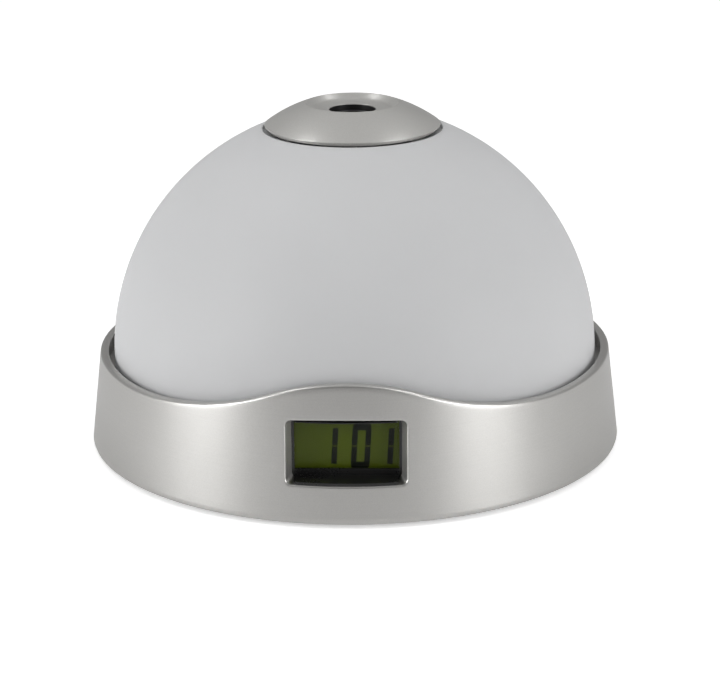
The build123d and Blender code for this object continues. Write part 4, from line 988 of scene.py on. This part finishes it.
helix = screw.node(
    "GeometryNodeCurveSpiral", {},
    {"Resolution": 16, "Rotations": size["Turns"], "Start Radius": size["Shank Radius"] - ridge_r,
     "End Radius": size["Shank Radius"] - ridge_r, "Height": size["Shank Length"] * thread_share},
)
ridge = screw.node("GeometryNodeCurvePrimitiveCircle", {}, {"Resolution": 3, "Radius": ridge_r})
thread = screw.node(
    "GeometryNodeCurveToMesh", {}, {"Curve": helix, "Profile Curve": ridge, "Fill Caps": True}
)
thread = screw.moved(thread, screw.vector(z=size["Shank Length"] * -thread_end))
turn = screw.node("FunctionNodeEulerToRotation", {}, [screw.vector(size["Tilt"])])
screw.finished(screw.node(
    "GeometryNodeInstanceOnPoints", {},
    {"Points": size["Start"], "Instance": screw.joined(head, core, thread), "Rotation": turn},
))


def set_screws(piece, node, head_way, head_r, head_h):
    """Screws where a CAD node has them; head_way is the axis and side their heads face."""
    axis, side = head_way
    points = bpy.data.meshes.new(piece)
    seats = []
    for low, high in solids(node):
        seat = (low + high) / 2
        seat[axis] = high[axis] - head_h if side > 0 else low[axis] + head_h
        seats.append(tuple(seat))
    length = high[axis] - low[axis] - head_h  # all of a node's screws are alike
    points.from_pydata(seats, [], [])
    tilt = -math.pi / 2 if axis == 1 else (0.0 if side > 0 else math.pi)
    values = {
        "Turns": round(length / (0.8 * MM)), "Head Radius": head_r, "Head Height": head_h,
        "Shank Radius": 0.98 * MM, "Shank Length": length, "Recess Length": 2.2 * MM,
        "Recess Width": 0.5 * MM, "Recess Depth": 0.6 * MM, "Tilt": tilt, "Skin": steel,
    }
    grown(piece, screw, points, values, "case", node)


for place, way in (("base", -1), ("board", 1), ("reflector", 1), ("tower", 1)):
    set_screws(place + "_cross_screws", place + "_screws", (2, way), 1.9 * MM, 1.3 * MM)
set_screws("display_cross_screws", "display_screws", (1, 1), 1.6 * MM, 1.0 * MM)

# ------------------------------------------------------------------ switches and chips
# Tact switches, a slide switch, the controller and small parts, all cast in dull black
# resin and soldered to the boards. Black plungers carry each press into its switch.
plungers = ["plunger_" + name for name in ("time", "alarm", "hour", "minute")]
dress(black_plastic, "cap_plungers", *plungers)
chip = moulded(
    "chip_black", (0.012, 0.012, 0.013), (0.022, 0.022, 0.023),
    rough=0.5, speck=0.6, grain=2600, relief=10 * MICRON,
)
for name, node, width in (("cap_tacts", "cap_switches", 0.2), ("key_tacts", "key_switches", 0.2),
                          ("slide_body", "slide_switch", 0.2), ("chip", "controller_chip", 0.1),
                          ("small_parts", "board_components", 0.1)):
    softened(name, node, width * MM, chip, "case")

# ------------------------------------------------------------------ circuit boards
# Woven glass fibre under a green solder mask. The cap's board lies on the tower's flange,
# the lamps' board is clamped under the reflector, and the other two are screwed down.
board_finish = Finish("circuit_board")
weave = board_finish.node(
    "ShaderNodeTexBrick", {}, {"Vector": board_finish.place, "Scale": 260, 5: 0.35}, "Fac"
)
resin = board_finish.noise(150, 3.0)
mottle = resin * 0.7 + weave * 0.3
dark_green, pale_green = (0.010, 0.075, 0.028), (0.020, 0.12, 0.045)
board_tone = board_finish.mix(mottle, dark_green, pale_green)
circuit = board_finish.skin(
    Base_Color=board_tone, Roughness=0.35 + resin * 0.1,
    Normal=board_finish.bump(weave, 20 * MICRON),
)
for name, node in (("top_circuit", "cap_board"), ("lamp_circuit", "led_board"),
                   ("main_circuit", "main_board"), ("display_circuit", "display_board")):
    softened(name, node, 0.06 * MM, circuit, "case")

# ------------------------------------------------------------------ reflector
# A satin white plate, screwed to the ring's pads. It hides the boards and throws the light
# of the lamps into the dome.
white_plate = moulded(
    "white_plate", (0.74, 0.74, 0.73), (0.80, 0.80, 0.79),
    rough=0.35, speck=0.4, grain=1800, relief=10 * MICRON,
)
softened("reflector", "reflector_plate", 0.25 * MM, white_plate, "case")

# ------------------------------------------------------------------ light guide and lamps
# A clear plate spreads light behind the display. The projector's lamp and the three that
# colour the dome are cast in clear resin.
guide = moulded(
    "light_guide", (0.75, 0.78, 0.74), (0.82, 0.85, 0.80),
    rough=0.25, speck=0.5, grain=1600, relief=10 * MICRON,
    Transmission_Weight=0.3,
)
dress(guide, "display_lightguide")
lamp = moulded(
    "lamp_clear", (0.78, 0.82, 0.86), (0.86, 0.88, 0.92),
    rough=0.08, speck=0.3, grain=900, relief=10 * MICRON,
    Transmission_Weight=0.8,
)
dress(lamp, "projector_led", "mood_leds")

# ------------------------------------------------------------------ cables
# Two flat grey cables, their wires side by side in soft plastic: one from the lamps' board
# up to the cap's board, and one from the main board to the lamps' board.
cable = moulded(
    "cable_grey", (0.40, 0.40, 0.42), (0.50, 0.50, 0.52),
    rough=0.5, speck=0.4, grain=1400, relief=20 * MICRON,
)
dress(cable, "ribbon_cable", "board_ribbon")

# ------------------------------------------------------------------ cells and buzzer
# Three dry cells in plain dark blue sleeves lie side by side in the bay. The buzzer is a
# thin brass disc over the sound slots.
sleeve = moulded(
    "cell_sleeve", (0.02, 0.045, 0.10), (0.03, 0.06, 0.13),
    rough=0.28, speck=0.3, grain=700, relief=10 * MICRON,
)
softened("sleeved_cells", "battery_cells", 0.35 * MM, sleeve, "case")
brass_finish = Finish("brass_disc")
tarnish = brass_finish.noise(220, 3.0)
brass_tone = brass_finish.mix(tarnish, (0.62, 0.44, 0.17), (0.72, 0.53, 0.24))
brass = brass_finish.skin(Base_Color=brass_tone, Metallic=1.0, Roughness=0.25 + tarnish * 0.15)
dress(brass, "buzzer")

# ------------------------------------------------------------------ floor and light
# A plain pale floor that only shows the contact shadow, and a soft studio round it. The
# camera sees floor and sky as white, while only their dimmer light falls on the clock.
floor_skin = Finish("floor")
grain = floor_skin.noise(900, 2.0)
pale = floor_skin.mix(grain, (0.83, 0.83, 0.83), (0.85, 0.85, 0.85))
matte = floor_skin.node("ShaderNodeBsdfPrincipled", {}, {"Base Color": pale, "Roughness": 0.6})
to_camera = floor_skin.node("ShaderNodeLightPath", output="Is Camera Ray")
glow = floor_skin.node("ShaderNodeEmission", {}, {"Strength": to_camera * 0.50})
floor_material = floor_skin.end(floor_skin.node("ShaderNodeAddShader", {}, [matte, glow]))
reach = 1.5
floor_mesh = bpy.data.meshes.new("floor")
floor_corners = [(-reach, -reach, 0), (reach, -reach, 0), (reach, reach, 0), (-reach, reach, 0)]
floor_mesh.from_pydata(floor_corners, [], [(0, 1, 2, 3)])
floor_mesh.materials.append(floor_material)
floor = bpy.data.objects.new("floor", floor_mesh)
bpy.context.scene.collection.objects.link(floor)


class Studio(Finish):
    """The world's node tree under construction, read by direction."""

    def __init__(self, name):
        world = bpy.data.worlds.new(name)
        world.use_nodes = True
        bpy.context.scene.world = world
        self.tree = world.node_tree
        self.tree.nodes.clear()
        self.place = self.node("ShaderNodeTexCoord", output="Generated")


studio = Studio("studio")
strength = studio.node(
    "ShaderNodeMapRange", {},
    {"Value": studio.axis("Y"), "From Min": -1.0, "From Max": 0.2, "To Min": 0.03, "To Max": 0.255},
    "Result",
)
white = (1, 1, 1, 1)
backdrop = studio.node("ShaderNodeBackground", {}, {"Color": white, "Strength": 1.0})
dim = studio.node("ShaderNodeBackground", {}, {"Color": white, "Strength": strength})
to_camera = studio.node("ShaderNodeLightPath", output="Is Camera Ray")
sky = studio.node("ShaderNodeMixShader", {}, [to_camera, dim, backdrop])
out = studio.tree.nodes.new("ShaderNodeOutputWorld")
studio.tree.links.new(sky.socket, out.inputs["Surface"])


def softbox(name, place, target, width, height, power):
    """A rectangular light of that size in metres, turned to face the target."""
    data = bpy.data.lights.new(name, "AREA")
    data.shape = "RECTANGLE"
    data.size, data.size_y = width, height
    data.energy = power
    light = bpy.data.objects.new(name, data)
    light.location = place
    light.rotation_euler = (Vector(target) - Vector(place)).to_track_quat("-Z", "Y").to_euler()
    bpy.context.scene.collection.objects.link(light)


softbox("left_box", (-0.946, -0.441, 0.35), (0, 0, 0.2), 0.52, 0.66, 7.7)
softbox("right_box", (0.881, -0.550, 0.35), (0, 0, 0.2), 0.52, 0.66, 6.8)
softbox("left_high", (-0.56, 0.10, 1.01), (0, 0, 0.07), 0.36, 0.14, 1.9)
softbox("right_high", (0.56, 0.10, 1.01), (0, 0, 0.07), 0.36, 0.14, 1.9)
softbox("top_box", (0, 0.45, 1.3), (0, 0.45, 0.03), 2.4, 2.4, 5.7)
bpy.context.scene.view_settings.view_transform = "Standard"
